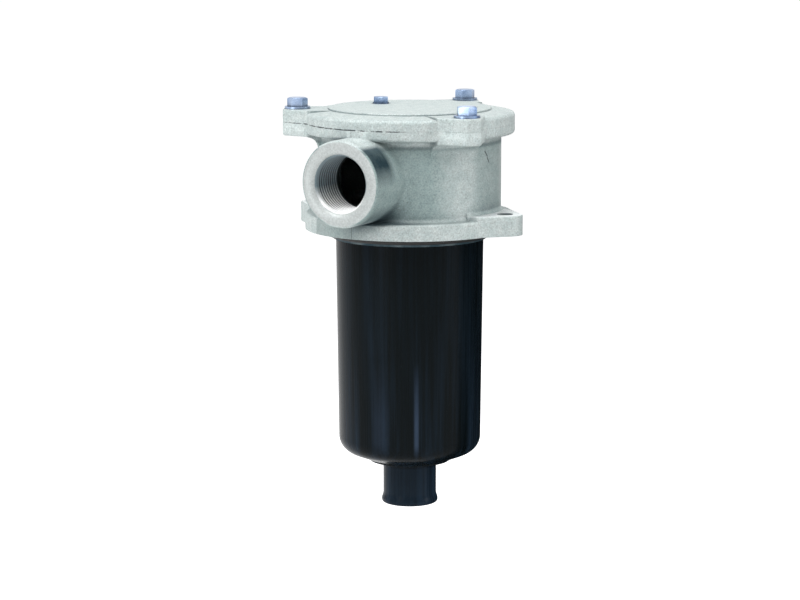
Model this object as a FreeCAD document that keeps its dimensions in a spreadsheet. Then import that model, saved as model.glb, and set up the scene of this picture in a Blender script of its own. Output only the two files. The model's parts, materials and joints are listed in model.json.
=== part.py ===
"""Return line filter that bolts down on a tank top.

Frame: millimetres, +Z up. The origin is the centre of the mounting flange's underside, on
the axis of the bowl. The inlet port points along -Y and the two mounting ears along X.
"""
import FreeCAD, Part
import math
import os
import re

import Sketcher

FULL_TURN = 360.0
LUG_ANGLES = (88.8, 208.8, 328.8)
HEX_TURNS = (15.0, 0.0, 38.0)

# Driving sizes: name, value, what it measures. Each one can be changed by itself.
SIZES = [
    # Head casting
    ("head_height", 59.6, "flange underside to the joint with the cover"),
    ("flange_reach", 7.4, "mounting flange beyond the wall"),
    ("flange_thickness", 9.1, "mounting flange"),
    ("ledge_width", 4.4, "inside of the head's wall beyond the bowl"),
    ("wall_thickness", 5.4, "head's wall"),
    ("rim_reach", 7.5, "top flange of the head, and the cover, beyond the wall"),
    ("rim_thickness", 5.9, "top flange of the head"),
    ("rim_round", 2.0, "outer edges of the top flange and cover"),
    ("flange_round", 1.4, "upper edge of the mounting flange"),
    ("root_round", 2.6, "inner corners between wall and flanges"),
    ("shoulder_height", 4.0, "ledge that the bowl's collar rests on"),
    ("spigot_wall", 1.5, "lip under the flange that enters the tank's hole"),
    ("spigot_drop", 5.2, "lip under the flange"),
    ("seat_recess", 0.4, "shallow recess for the tank seal"),
    # Inlet port
    ("port_height", 32.2, "port axis above the seat"),
    ("port_stand", 25.6, "port face beyond the wall"),
    ("port_radius", 23.8, "outside of the port boss"),
    ("port_bore", 15.145, "minor radius of the one-inch pipe thread"),
    ("port_mouth", 17.2, "chamfer at the port's face"),
    ("port_blend", 5.0, "fillet between boss and wall"),
    ("port_round", 1.6, "outer edge of the port's face"),
    # Mounting ears
    ("ear_stand", 1.5, "ear holes beyond the mounting flange's edge"),
    ("ear_hole", 4.5, "radius of the ear holes"),
    ("ear_tip", 9.9, "radius of the ear's end about its hole"),
    ("ear_flank", 45.0, "angle of the ear's flanks from its axis, degrees"),
    ("ear_root", 20.3, "half width of the ear where it joins the flange"),
    ("ear_rise", 2.2, "ear pad above the flange"),
    ("ear_blend", 2.5, "fillet between ear pad and wall"),
    ("ear_round", 0.8, "upper edge of the ear pads"),
    # Cover lugs and bolts
    ("bolt_stand", 3.9, "cover bolts beyond the rim"),
    ("lug_reach", 8.1, "lug tip beyond the bolt's axis"),
    ("lug_tip_half", 4.4, "half width of the lug at its tip"),
    ("lug_knee_back", 2.8, "where the flank bends, inboard of the bolt's axis"),
    ("lug_knee_half", 11.8, "half width of the lug at the bend"),
    ("lug_root_back", 5.8, "where the flank meets the rim, inboard of the bolt's axis"),
    ("lug_root_half", 14.8, "half width of the lug where it meets the rim"),
    ("lug_corner", 2.4, "rounding of the lug's tip"),
    ("lug_hollow", 6.0, "rounding of the lug's bend"),
    ("lug_below", 7.4, "lug on the head, under the joint"),
    ("lug_above", 7.4, "lug on the cover, over the joint"),
    ("lug_round", 0.9, "upper and lower edges of the lugs"),
    ("gusset", 8.0, "fillet that carries the lug on the wall"),
    ("bolt_shank", 3.0, "radius of the cover bolts"),
    ("bolt_hole", 3.4, "clearance hole in the cover"),
    ("bolt_length", 13.9, "cover bolt under its head"),
    ("bolt_flange", 7.2, "radius of the bolt head's flange"),
    ("bolt_flange_thick", 1.3, "bolt head's flange"),
    ("bolt_flats", 10.0, "across the flats of the bolt head"),
    ("bolt_hex_height", 4.9, "hexagon above its flange"),
    # Cover
    ("cover_rim_height", 5.9, "edge of the cover over the joint"),
    ("cover_slope", 1.4, "rise of the cover from its edge to the raised disc"),
    ("plateau_back", 13.2, "edge of the raised disc inboard of the rim"),
    ("plateau_step", 1.1, "height of the raised disc's edge"),
    ("cover_plate", 5.6, "thickness of the cover at its middle"),
    ("cover_spigot_depth", 4.0, "ring that centres the cover in the head"),
    ("cover_spigot_wall", 4.6, "ring that centres the cover in the head"),
    ("cover_spigot_gap", 0.3, "that ring in the chamber, each side"),
    ("spring_ring_depth", 4.0, "ring that centres the hold-down spring"),
    ("spring_ring_wall", 2.2, "ring that centres the hold-down spring"),
    # Bleed screw
    ("bleed_left", 24.4, "bleed screw from the axis, along -X"),
    ("bleed_back", 10.0, "bleed screw from the axis, along +Y"),
    ("bleed_shank", 2.5, "radius of the bleed screw"),
    ("bleed_length", 8.0, "bleed screw under its head"),
    ("bleed_flats", 8.0, "across the flats of the bleed screw"),
    ("bleed_hex_height", 3.0, "head of the bleed screw"),
    ("bleed_washer", 4.7, "radius of the sealing washer"),
    ("bleed_washer_thick", 0.9, "sealing washer"),
    # Seals
    ("tank_cord", 2.05, "cord radius of the tank seal"),
    ("bowl_cord", 1.0, "cord radius of the bowl seal"),
    ("cover_cord", 1.0, "cord radius of the cover seal"),
    ("cover_seal_back", 1.8, "middle of the cover seal inboard of the wall's outside"),
    ("element_cord", 0.9, "cord radius of the element seal"),
    ("seal_room", 0.6, "width that a groove leaves beside its cord"),
    ("fit_gap", 0.05, "clearance of a seal in its seat"),
    # Bowl
    ("bowl_radius", 41.6, "outside of the bowl under the flange"),
    ("bowl_bore_gap", 0.3, "bowl in the head's bore, each side"),
    ("bowl_taper", 1.4, "how much the bowl's radius shrinks down to its edge"),
    ("bowl_wall", 2.5, "side wall of the bowl"),
    ("bowl_floor", 2.7, "bottom of the bowl"),
    ("bowl_edge_depth", 125.8, "seat plane to the bowl's lower edge, before rounding"),
    ("bowl_corner", 10.0, "outer rounding of the bowl's lower edge"),
    ("dish_drop", 6.8, "fall of the dished bottom from the edge to the ring"),
    ("ring_radius", 23.2, "flat ring around the neck"),
    ("ring_drop", 0.9, "flat ring around the neck"),
    ("neck_radius", 15.1, "outlet neck"),
    ("neck_bore", 12.25, "outlet neck"),
    ("neck_length", 24.7, "outlet neck under the ring"),
    ("bead_radius", 16.0, "bead that holds a hose on the neck"),
    ("bead_height", 2.4, "bead that holds a hose on the neck"),
    ("bead_flare", 2.8, "height of the flare from the neck to the bead"),
    ("bead_round", 1.3, "lower edge of the bead"),
    ("collar_thickness", 3.6, "collar that hangs the bowl in the head"),
    ("collar_gap", 0.3, "collar in the chamber, each side"),
    ("stub_radius", 16.0, "tube inside the bowl that the element plugs onto"),
    ("stub_height", 12.0, "tube inside the bowl, above the ribs"),
    ("rib_depth", 112.0, "seat plane down to the ribs' tops"),
    ("rib_reach", 29.0, "outer end of the ribs"),
    ("rib_thickness", 2.2, "ribs inside the bowl"),
    # Filter element
    ("element_length", 132.0, "filter element over its caps"),
    ("element_radius", 31.8, "end caps"),
    ("cap_plate", 1.2, "end caps"),
    ("cap_skirt", 10.0, "height of the end caps' skirts"),
    ("cap_skirt_wall", 1.0, "end caps' skirts"),
    ("cap_round", 0.8, "outer edges of the end caps"),
    ("cap_sleeve_gap", 0.4, "bottom cap's sleeve on the bowl's tube, each side"),
    ("core_radius", 20.2, "outside of the core tube"),
    ("core_wall", 1.0, "core tube"),
    ("core_gap", 0.15, "bottom cap's sleeve in the core tube, each side"),
    ("core_window_width", 7.0, "windows in the core tube"),
    ("core_window_height", 13.0, "windows in the core tube"),
    ("media_gap", 0.4, "pleats from the core tube and from the skirt"),
    ("media_sheet", 0.5, "thickness of the pleated sheet"),
    # Bypass valve
    ("gasket_thickness", 1.0, "gasket under the valve body"),
    ("gasket_radius", 19.8, "gasket under the valve body"),
    ("valve_flange", 22.0, "radius of the valve body's flange"),
    ("valve_flange_thick", 2.5, "valve body's flange"),
    ("valve_neck", 14.0, "valve body in the element's cap"),
    ("valve_neck_depth", 5.0, "valve body below the top of the cap"),
    ("valve_neck_gap", 0.2, "valve body in the element's cap, each side"),
    ("valve_bore", 10.5, "passage through the valve body"),
    ("hub_radius", 6.6, "hub that guides the stem"),
    ("hub_height", 5.0, "top of the hub above the element"),
    ("hub_depth", 0.5, "bottom of the hub below the top of the element"),
    ("spoke_width", 2.4, "spokes that carry the hub"),
    ("stem_radius", 2.0, "poppet's stem"),
    ("stem_gap", 0.05, "stem in its guide, each side"),
    ("stem_end", 2.1, "stem above the clip"),
    ("poppet_radius", 13.4, "poppet's disc"),
    ("poppet_thickness", 3.0, "poppet's disc"),
    ("poppet_seal_width", 3.5, "flat seal in the poppet's face"),
    ("poppet_seal_thick", 1.2, "flat seal in the poppet's face"),
    ("poppet_seal_proud", 0.2, "flat seal above the poppet's face"),
    ("seat_gap", 0.05, "closed poppet below its seat"),
    ("valve_spring_length", 14.0, "bypass spring as fitted"),
    ("valve_spring_radius", 5.3, "mean radius of the bypass spring"),
    ("valve_spring_wire", 0.6, "wire radius of the bypass spring"),
    ("retainer_radius", 7.2, "washer on top of the bypass spring"),
    ("retainer_thickness", 1.2, "washer on top of the bypass spring"),
    ("clip_radius", 4.4, "clip that holds the washer"),
    ("clip_thickness", 0.7, "clip that holds the washer"),
    ("clip_groove", 1.5, "radius of the stem in the clip's groove"),
    # Hold-down spring
    ("hold_radius", 18.0, "mean radius of the hold-down spring"),
    ("hold_wire", 1.25, "wire radius of the hold-down spring"),
    ("hold_ring_gap", 0.95, "spring inside the cover's ring, each side"),
]

# Places and fits that follow from the sizes above.
FORMULAS = {
    "chamber_radius": "bowl_radius + ledge_width",
    "wall_radius": "chamber_radius + wall_thickness",
    "flange_radius": "wall_radius + flange_reach",
    "rim_radius": "wall_radius + rim_reach",
    "head_bore": "bowl_radius + bowl_bore_gap",
    "spigot_radius": "head_bore + spigot_wall",
    "recess_radius": "spigot_radius + 2 * tank_cord + seal_room",
    "port_reach": "wall_radius + port_stand",
    "bolt_circle": "rim_radius + bolt_stand",
    "plateau_radius": "rim_radius - plateau_back",
    "cover_seal_radius": "wall_radius - cover_seal_back",
    "ear_top": "flange_thickness + ear_rise",
    "ear_reach": "flange_radius + ear_stand",
    "flank_x": "ear_reach + ear_tip * sin(ear_flank)",
    "flank_y": "ear_tip * cos(ear_flank)",
    "ear_root_x": "flank_x - (ear_root - flank_y) / tan(ear_flank)",
    "lug_tip": "bolt_circle + lug_reach",
    "lug_knee": "bolt_circle - lug_knee_back",
    "lug_root": "bolt_circle - lug_root_back",
    "cover_edge": "head_height + cover_rim_height",
    "cover_step": "cover_edge + cover_slope",
    "cover_top": "cover_step + plateau_step",
    "cover_ceiling": "cover_top - cover_plate",
    "cover_spigot": "chamber_radius - cover_spigot_gap",
    "spring_ring": "hold_radius + hold_wire + hold_ring_gap",
    "seal_groove_in": "cover_seal_radius - cover_cord - seal_room",
    "seal_groove_out": "cover_seal_radius + cover_cord + seal_room",
    "collar_radius": "chamber_radius - collar_gap",
    "collar_top": "shoulder_height + collar_thickness",
    "edge_radius": "bowl_radius - bowl_taper",
    "dish_slope": "dish_drop / (edge_radius - ring_radius)",
    "dish_low": "-(bowl_edge_depth + dish_drop)",
    "ring_low": "dish_low - ring_drop",
    "neck_low": "ring_low - neck_length",
    "floor_edge": "-bowl_edge_depth - bowl_wall * dish_slope + bowl_floor",
    "floor_ring": "dish_low - bowl_wall * dish_slope + bowl_floor",
    "floor_low": "ring_low + bowl_floor",
    "stub_top": "stub_height - rib_depth",
    "element_low": "-rib_depth",
    "element_top": "element_length - rib_depth",
    "sleeve_bore": "stub_radius + cap_sleeve_gap",
    "sleeve_radius": "core_radius - core_wall - core_gap",
    "element_groove": "stub_radius + 2 * element_cord + fit_gap",
    "element_seal_height": "element_low + cap_skirt / 2",
    "media_low": "element_low + cap_plate",
    "media_top": "element_top - cap_plate",
    "valve_base": "element_top + gasket_thickness",
    "valve_top": "valve_base + valve_flange_thick",
    "valve_seat": "element_top - valve_neck_depth",
    "hub_top": "element_top + hub_height",
    "seal_top": "valve_seat - seat_gap",
    "poppet_top": "seal_top - poppet_seal_proud",
    "poppet_groove": "poppet_seal_thick - poppet_seal_proud",
    "retainer_low": "hub_top + valve_spring_length",
    "clip_low": "retainer_low + retainer_thickness",
    "clip_top": "clip_low + clip_thickness",
    "stem_top": "clip_top + stem_end",
}

SIZE_NAMES = {name for name, _, _ in SIZES}
BLANK_SPARE = 12.0
SKIN = 0.05
MARGIN = 0.02
CORE_ROWS = 6
CORE_COLUMN_PAIRS = 3
RIB_COUNT = 6
SPOKE_COUNT = 3
PLEAT_COUNT = 48
HOLD_TURNS = 4.5
VALVE_SPRING_TURNS = 5.0
END_TURNS = 1.0
COIL_STEPS = 8
COIL_CLOSE = 1.02
COIL_EASE = 0.35
CROWN_SHARE = 0.475

Z_AXIS = FreeCAD.Vector(0, 0, 1)

doc = FreeCAD.newDocument("return_line_filter")
sheet = doc.addObject("Spreadsheet::Sheet", "Sizes")
for row, (name, number, note) in enumerate(SIZES, start=1):
    sheet.set("A%d" % row, name)
    sheet.set("B%d" % row, str(number))
    sheet.set("C%d" % row, note)
    sheet.setAlias("B%d" % row, name)
doc.recompute()


def expand(text):
    """Write a formula in size names as a formula in the sheet's cells."""

    def swap(match):
        word = match.group(0)
        if word in FORMULAS:
            return "(" + expand(FORMULAS[word]) + ")"
        if word in SIZE_NAMES:
            return "Sizes." + word
        return word

    return re.sub(r"[a-z_]+", swap, text)


def value(text):
    """Work a formula in size names out to a number."""
    result = sheet.evalExpression(expand(text))
    return float(getattr(result, "Value", result))


def bind(item, **formulas):
    """Tie properties of an object to formulas in size names."""
    for prop, text in formulas.items():
        item.setExpression(prop, expand(text))
    return item


def place(item, x="0", y="0", z="0"):
    """Tie an object's position to formulas in size names."""
    for axis, text in zip("xyz", (x, y, z)):
        item.setExpression("Placement.Base." + axis, expand(text))
    return item


def new_body(label):
    """Add an empty body with a label of its own."""
    body = doc.addObject("PartDesign::Body", label)
    body.Label = label
    return body


def new_sketch(body, name, role, lift=None):
    """Add a sketch on one of the body's origin planes, lifted along the plane's normal."""
    sketch = body.newObject("Sketcher::SketchObject", name)
    plane = next(item for item in body.Origin.OriginFeatures if item.Role == role)
    sketch.AttachmentSupport = [(plane, "")]
    sketch.MapMode = "FlatFace"
    if lift:
        sketch.setExpression("AttachmentOffset.Base.z", expand(lift))
    return sketch


def pin_point(sketch, item, end, x, y):
    """Hold one point of a sketch at formulas in size names."""
    for kind, axis, text in (("DistanceX", -2, x), ("DistanceY", -1, y)):
        if text == "0":
            sketch.addConstraint(Sketcher.Constraint("PointOnObject", item, end, axis))
        else:
            rule = Sketcher.Constraint(kind, -1, 1, item, end, value(text))
            index = sketch.addConstraint(rule)
            sketch.setExpression("Constraints[%d]" % index, expand(text))


def add_loop(sketch, corners):
    """Draw a closed outline of straight lines through the corners."""
    spots = [FreeCAD.Vector(value(x), value(y), 0) for x, y in corners]
    first = sketch.GeometryCount
    count = len(spots)
    for index in range(count):
        sketch.addGeometry(Part.LineSegment(spots[index], spots[(index + 1) % count]))
    for index in range(count):
        following = first + (index + 1) % count
        sketch.addConstraint(Sketcher.Constraint("Coincident", first + index, 2, following, 1))
    for index, (x, y) in enumerate(corners):
        pin_point(sketch, first + index, 1, x, y)


def add_circle(sketch, x, y, radius):
    """Draw a circle."""
    centre = FreeCAD.Vector(value(x), value(y), 0)
    item = sketch.addGeometry(Part.Circle(centre, Z_AXIS, value(radius)))
    pin_point(sketch, item, 3, x, y)
    index = sketch.addConstraint(Sketcher.Constraint("Radius", item, value(radius)))
    sketch.setExpression("Constraints[%d]" % index, expand(radius))


def turn(body, name, *loops, kind="PartDesign::Revolution"):
    """Turn closed outlines of radius and height about the Z axis."""
    sketch = new_sketch(body, name + "_outline", "XZ_Plane")
    for corners in loops:
        add_loop(sketch, corners)
    feature = body.newObject(kind, name)
    feature.Profile = sketch
    feature.ReferenceAxis = (sketch, ["V_Axis"])
    feature.Angle = FULL_TURN
    doc.recompute()
    return feature


def pad(body, name, sketch, length, reverse=False):
    """Raise a sketch to a length."""
    feature = body.newObject("PartDesign::Pad", name)
    feature.Profile = sketch
    feature.Reversed = reverse
    bind(feature, Length=length)
    doc.recompute()
    return feature


def pocket_through(body, name, sketch):
    """Cut a sketch out through the body, both ways."""
    feature = body.newObject("PartDesign::Pocket", name)
    feature.Profile = sketch
    feature.Midplane = True
    feature.Type = 1
    doc.recompute()
    return feature


def repeat_round(body, name, originals, count, angle=FULL_TURN):
    """Repeat features round the Z axis."""
    feature = body.newObject("PartDesign::PolarPattern", name)
    feature.Originals = originals
    axis = next(item for item in body.Origin.OriginFeatures if item.Role == "Z_Axis")
    feature.Axis = (axis, [""])
    feature.Angle = angle
    feature.Occurrences = count
    body.Tip = feature
    doc.recompute()
    return feature


def edges_where(shape, test):
    """Name the edges whose ends and middle all pass a test."""
    names = []
    for index, edge in enumerate(shape.Edges, start=1):
        first, last = edge.ParameterRange
        spots = [edge.valueAt(first + (last - first) * part) for part in (0.0, 0.31, 0.5, 1.0)]
        if all(test(spot) for spot in spots):
            names.append("Edge%d" % index)
    return names


def near(one, other):
    """Tell whether two lengths are the same."""
    return abs(one - other) < 0.01


def reach_of(spot):
    """Give a point's distance from the Z axis."""
    return math.hypot(spot.x, spot.y)


def round_edges(body, name, test, radius):
    """Round the edges of the body that pass a test."""
    base = body.Tip
    feature = body.newObject("PartDesign::Fillet", name)
    feature.Base = (base, edges_where(base.Shape, test))
    bind(feature, Radius=radius)
    doc.recompute()
    return feature


def ring_edge(radius, height):
    """Make a test for the circular edge at a radius and height."""
    at_radius = value(radius)
    at_height = value(height)
    return lambda spot: near(reach_of(spot), at_radius) and near(spot.z, at_height)


def cylinder(name, radius, height, x="0", y="0", z="0"):
    """Add an upright cylinder."""
    item = doc.addObject("Part::Cylinder", name)
    bind(item, Radius=radius, Height=height)
    return place(item, x, y, z)


def torus(name, ring_radius, cord, z):
    """Add a seal ring of round cord."""
    item = doc.addObject("Part::Torus", name)
    item.Label = name
    bind(item, Radius1=ring_radius, Radius2=cord)
    return place(item, z=z)


def pair(kind, name, base, tool):
    """Combine two shapes."""
    item = doc.addObject(kind, name)
    item.Base = base
    item.Tool = tool
    item.Refine = False
    doc.recompute()
    return item


def fuse(name, items):
    """Join shapes one after another."""
    whole = items[0]
    for index, item in enumerate(items[1:], start=1):
        whole = pair("Part::Fuse", "%s_%d" % (name, index), whole, item)
    return whole


def cut(name, base, tools):
    """Cut shapes out of another, one after another, and give the result its name."""
    for index, tool in enumerate(tools[:-1], start=1):
        base = pair("Part::Cut", "%s_cut_%d" % (name, index), base, tool)
    item = pair("Part::Cut", name, base, tools[-1])
    item.Label = name
    return item


def spin(item, angle):
    """Turn an object about the Z axis."""
    item.Placement = FreeCAD.Placement(FreeCAD.Vector(), FreeCAD.Rotation(Z_AXIS, angle))
    return item


def spun_copy(name, item, angle):
    """Carry an object that stands on the +X side round the Z axis."""
    carrier = doc.addObject("Part::Compound", name)
    carrier.Links = [item]
    doc.recompute()
    return spin(carrier, angle)


# Lugs that take the cover bolts


def lug_outline(sketch, inner):
    """Draw a lug that points along +X: narrow at its tip and splayed towards the rim."""
    add_loop(sketch, [
        (inner, "-lug_root_half"),
        ("lug_root", "-lug_root_half"),
        ("lug_knee", "-lug_knee_half"),
        ("lug_tip", "-lug_tip_half"),
        ("lug_tip", "lug_tip_half"),
        ("lug_knee", "lug_knee_half"),
        ("lug_root", "lug_root_half"),
        (inner, "lug_root_half"),
    ])


def soften_lug(body, name):
    """Round the upright edges at the lug's tip and at the bend in its flanks."""
    tip = value("lug_tip")
    knee = value("lug_knee")
    round_edges(body, name + "_tip", lambda spot: near(spot.x, tip)
                and near(abs(spot.y), value("lug_tip_half")), "lug_corner")
    round_edges(body, name + "_bend", lambda spot: near(spot.x, knee)
                and near(abs(spot.y), value("lug_knee_half")), "lug_hollow")


def head_lug(angle):
    """Make one lug of the head, with the curved gusset that carries it on the wall."""
    name = "head_lug_%d" % angle
    body = new_body(name)
    lift = "head_height - lug_below - 1.5 * gusset"
    sketch = new_sketch(body, name + "_outline", "XY_Plane", lift)
    lug_outline(sketch, "chamber_radius")
    pad(body, name + "_pad", sketch, "lug_below + 1.5 * gusset + %g" % (BLANK_SPARE / 2))
    low = "head_height - lug_below - 2 * gusset"
    under = "head_height - lug_below"
    turn(body, name + "_step", [("wall_radius", low), ("lug_tip + gusset", low),
                                ("lug_tip + gusset", under), ("wall_radius", under)],
         kind="PartDesign::Groove")
    round_edges(body, name + "_gusset", ring_edge("wall_radius", under), "gusset")
    soften_lug(body, name)
    low_at = value(under)
    out_at = value("wall_radius + gusset") + MARGIN
    round_edges(body, name + "_under", lambda spot: near(spot.z, low_at)
                and reach_of(spot) > out_at, "lug_round")
    return spin(body, angle)


def cover_lug(angle):
    """Make one lug of the cover."""
    name = "cover_lug_%d" % angle
    body = new_body(name)
    sketch = new_sketch(body, name + "_outline", "XY_Plane", "head_height")
    lug_outline(sketch, "cover_spigot - 0.7 * cover_spigot_wall")
    pad(body, name + "_pad", sketch, "lug_above")
    soften_lug(body, name)
    top_at = value("head_height + lug_above")
    out_at = value("lug_root") - MARGIN
    round_edges(body, name + "_top", lambda spot: near(spot.z, top_at)
                and spot.x > out_at, "lug_round")
    return spin(body, angle)


# Head casting


def head_shell():
    """Make the two flanges, still solid inside and with metal to spare above and below."""
    body = new_body("head_shell")
    under_rim = "head_height - rim_thickness"
    inside = "wall_radius - %g" % SKIN
    turn(body, "head_profile", [
        ("0", "-%g" % BLANK_SPARE),
        ("flange_radius", "-%g" % BLANK_SPARE),
        ("flange_radius", "flange_thickness"),
        (inside, "flange_thickness"),
        (inside, under_rim),
        ("rim_radius", under_rim),
        ("rim_radius", "head_height + %g" % BLANK_SPARE),
        ("0", "head_height + %g" % BLANK_SPARE),
    ])
    round_edges(body, "rim_edge", ring_edge("rim_radius", under_rim), "rim_round")
    round_edges(body, "flange_edge", ring_edge("flange_radius", "flange_thickness"),
                "flange_round")
    round_edges(body, "rim_root", ring_edge(inside, under_rim), "root_round")
    round_edges(body, "flange_root", ring_edge(inside, "flange_thickness"), "root_round")
    return body


def head_features():
    """Make the port boss and the ears, blended into a length of wall."""
    body = new_body("head_features")
    wall = new_sketch(body, "blank_outline", "XY_Plane", "-%g" % BLANK_SPARE)
    add_circle(wall, "0", "0", "wall_radius")
    pad(body, "blank", wall, "head_height + %g" % (2 * BLANK_SPARE))

    boss = new_sketch(body, "boss_outline", "XZ_Plane")
    add_circle(boss, "0", "port_height", "port_radius")
    pad(body, "boss", boss, "port_reach")

    flank = new_sketch(body, "ear_outline", "XY_Plane", "-%g" % BLANK_SPARE)
    add_loop(flank, [
        ("0", "-ear_root"),
        ("ear_root_x", "-ear_root"),
        ("flank_x", "-flank_y"),
        ("flank_x", "flank_y"),
        ("ear_root_x", "ear_root"),
        ("0", "ear_root"),
    ])
    flanks = pad(body, "ear_flanks", flank, "ear_top + %g" % BLANK_SPARE)
    tip = new_sketch(body, "ear_tip_outline", "XY_Plane", "-%g" % BLANK_SPARE)
    add_circle(tip, "ear_reach", "0", "ear_tip")
    tips = pad(body, "ear_end", tip, "ear_top + %g" % BLANK_SPARE)
    repeat_round(body, "ears", [flanks, tips], 2)

    wall_at = value("wall_radius")
    boss_at = value("port_radius")
    axis_at = value("port_height")
    ear_at = value("ear_top")
    round_edges(body, "boss_blend", lambda spot: near(reach_of(spot), wall_at)
                and near(math.hypot(spot.x, spot.z - axis_at), boss_at), "port_blend")
    round_edges(body, "boss_edge", lambda spot: near(spot.y, -value("port_reach"))
                and near(math.hypot(spot.x, spot.z - axis_at), boss_at), "port_round")
    round_edges(body, "ear_wall_blend", lambda spot: near(reach_of(spot), wall_at)
                and near(spot.z, ear_at), "ear_blend")
    root_at = value("ear_root_x") - MARGIN
    round_edges(body, "ear_edge", lambda spot: near(spot.z, ear_at)
                and abs(spot.x) > root_at, "ear_round")
    return body


def head_machining():
    """Make what is machined off: both faces, recess, lip, bore, seal seat and chamber."""
    body = new_body("head_machining")
    beyond = "port_reach + flange_radius"
    below = "-%g" % (2 * BLANK_SPARE)
    above = "head_height + %g" % (2 * BLANK_SPARE)
    seat_low = "shoulder_height - 2 * bowl_cord"
    turn(body, "machined_profile", [
        ("0", below),
        (beyond, below),
        (beyond, "0"),
        ("recess_radius", "0"),
        ("recess_radius", "seat_recess"),
        ("spigot_radius", "seat_recess"),
        ("spigot_radius", "-spigot_drop"),
        ("head_bore", "-spigot_drop"),
        ("head_bore", seat_low),
        ("head_bore + 2 * bowl_cord", seat_low),
        ("head_bore + 2 * bowl_cord", "shoulder_height"),
        ("chamber_radius", "shoulder_height"),
        ("chamber_radius", "head_height"),
        (beyond, "head_height"),
        (beyond, above),
        ("0", above),
    ])
    return body


def port_tools():
    """Make the port's bore and its chamfered mouth, along -Y."""
    bore = doc.addObject("Part::Cylinder", "port_bore_tool")
    bind(bore, Radius="port_bore", Height="port_reach + port_mouth")
    mouth = doc.addObject("Part::Cone", "port_mouth_tool")
    bind(mouth, Radius1="port_bore", Radius2="port_mouth + 1", Height="port_mouth - port_bore + 1")
    for item in (bore, mouth):
        item.Placement.Rotation = FreeCAD.Rotation(FreeCAD.Vector(1, 0, 0), 90)
    place(bore, z="port_height")
    place(mouth, y="port_mouth - port_bore - port_reach", z="port_height")
    return [bore, mouth]


def bolt_holes(name, radius, low, height):
    """Make the cylinders that cut the holes for the three cover bolts."""
    holes = []
    for angle in LUG_ANGLES:
        hole = cylinder("%s_%d" % (name, angle), radius, height, x="bolt_circle", z=low)
        holes.append(spun_copy("%s_turned_%d" % (name, angle), hole, angle))
    return holes


def head_casting():
    """Make the head: one casting, machined inside, at the port and at the holes."""
    lugs = [head_lug(angle) for angle in LUG_ANGLES]
    raw = fuse("head_raw", [head_shell(), head_features()] + lugs)
    ear_holes = [
        cylinder("ear_hole_right", "ear_hole", "3 * ear_top", x="ear_reach", z="-ear_top"),
        cylinder("ear_hole_left", "ear_hole", "3 * ear_top", x="-ear_reach", z="-ear_top"),
    ]
    taps = bolt_holes("head_tap", "bolt_shank + fit_gap / 2",
                      "head_height - lug_below - gusset", "lug_below + 2 * gusset")
    return cut("head_casting", raw, [head_machining()] + port_tools() + ear_holes + taps)


# Cover and what is on it


def cover():
    """Make the cover: raised disc, spigot, ring for the spring, lugs and seal groove."""
    body = new_body("cover_shell")
    spigot_low = "head_height - cover_spigot_depth"
    ring_low = "cover_ceiling - spring_ring_depth"
    turn(body, "cover_profile", [
        ("0", "cover_ceiling"),
        ("spring_ring", "cover_ceiling"),
        ("spring_ring", ring_low),
        ("spring_ring + spring_ring_wall", ring_low),
        ("spring_ring + spring_ring_wall", "cover_ceiling"),
        ("cover_spigot - cover_spigot_wall", "cover_ceiling"),
        ("cover_spigot - cover_spigot_wall", spigot_low),
        ("cover_spigot", spigot_low),
        ("cover_spigot", "head_height"),
        ("rim_radius", "head_height"),
        ("rim_radius", "cover_edge"),
        ("plateau_radius", "cover_step"),
        ("plateau_radius", "cover_top"),
        ("0", "cover_top"),
    ])
    round_edges(body, "cover_rim_edge", ring_edge("rim_radius", "cover_edge"), "rim_round")
    round_edges(body, "plateau_edge", ring_edge("plateau_radius", "cover_top"),
                "plateau_step / 2")
    lugs = [cover_lug(angle) for angle in LUG_ANGLES]
    raw = fuse("cover_raw", [body] + lugs)
    groove_tool = new_body("cover_groove_tool")
    groove_low = "head_height - cover_cord"
    groove_top = "head_height + 2 * cover_cord + fit_gap"
    turn(groove_tool, "cover_groove", [
        ("seal_groove_in", groove_low),
        ("seal_groove_out", groove_low),
        ("seal_groove_out", groove_top),
        ("seal_groove_in", groove_top),
    ])
    holes = bolt_holes("cover_hole", "bolt_hole", "head_height - lug_above", "3 * lug_above")
    bleed = cylinder("bleed_hole", "bleed_shank + fit_gap / 2", "3 * cover_plate",
                     x="-bleed_left", y="bleed_back", z="cover_ceiling - cover_plate")
    return cut("cover", raw, [groove_tool] + holes + [bleed])


def hex_head(name, flats, height):
    """Make a hexagon head, standing on the XY plane, with its upper corners turned off."""
    prism = doc.addObject("Part::Prism", name + "_prism")
    prism.Polygon = 6
    bind(prism, Circumradius=flats + " / sqrt(3)", Height=height)
    crown = doc.addObject("Part::Cone", name + "_crown")
    top = "%g * %s" % (CROWN_SHARE, flats)
    bind(crown, Radius1="%s + %s * sqrt(3)" % (top, height), Radius2=top, Height=height)
    both = doc.addObject("Part::Common", name + "_hex")
    both.Base = prism
    both.Tool = crown
    return both


def cover_bolts():
    """Make the three flanged hexagon bolts that hold the cover."""
    bolts = []
    for angle, hex_turn in zip(LUG_ANGLES, HEX_TURNS):
        name = "bolt_%d" % angle
        hexagon = spin(hex_head(name, "bolt_flats", "bolt_hex_height"), hex_turn)
        place(hexagon, z="bolt_flange_thick")
        flange = cylinder(name + "_flange", "bolt_flange", "bolt_flange_thick")
        shank = cylinder(name + "_shank", "bolt_shank", "bolt_length", z="-bolt_length")
        upright = fuse(name + "_upright", [hexagon, flange, shank])
        place(upright, x="bolt_circle", z="head_height + lug_above")
        bolts.append(spun_copy(name, upright, angle))
    group = doc.addObject("Part::Compound", "cover_bolts")
    group.Label = "cover_bolts"
    group.Links = bolts
    return group


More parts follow.
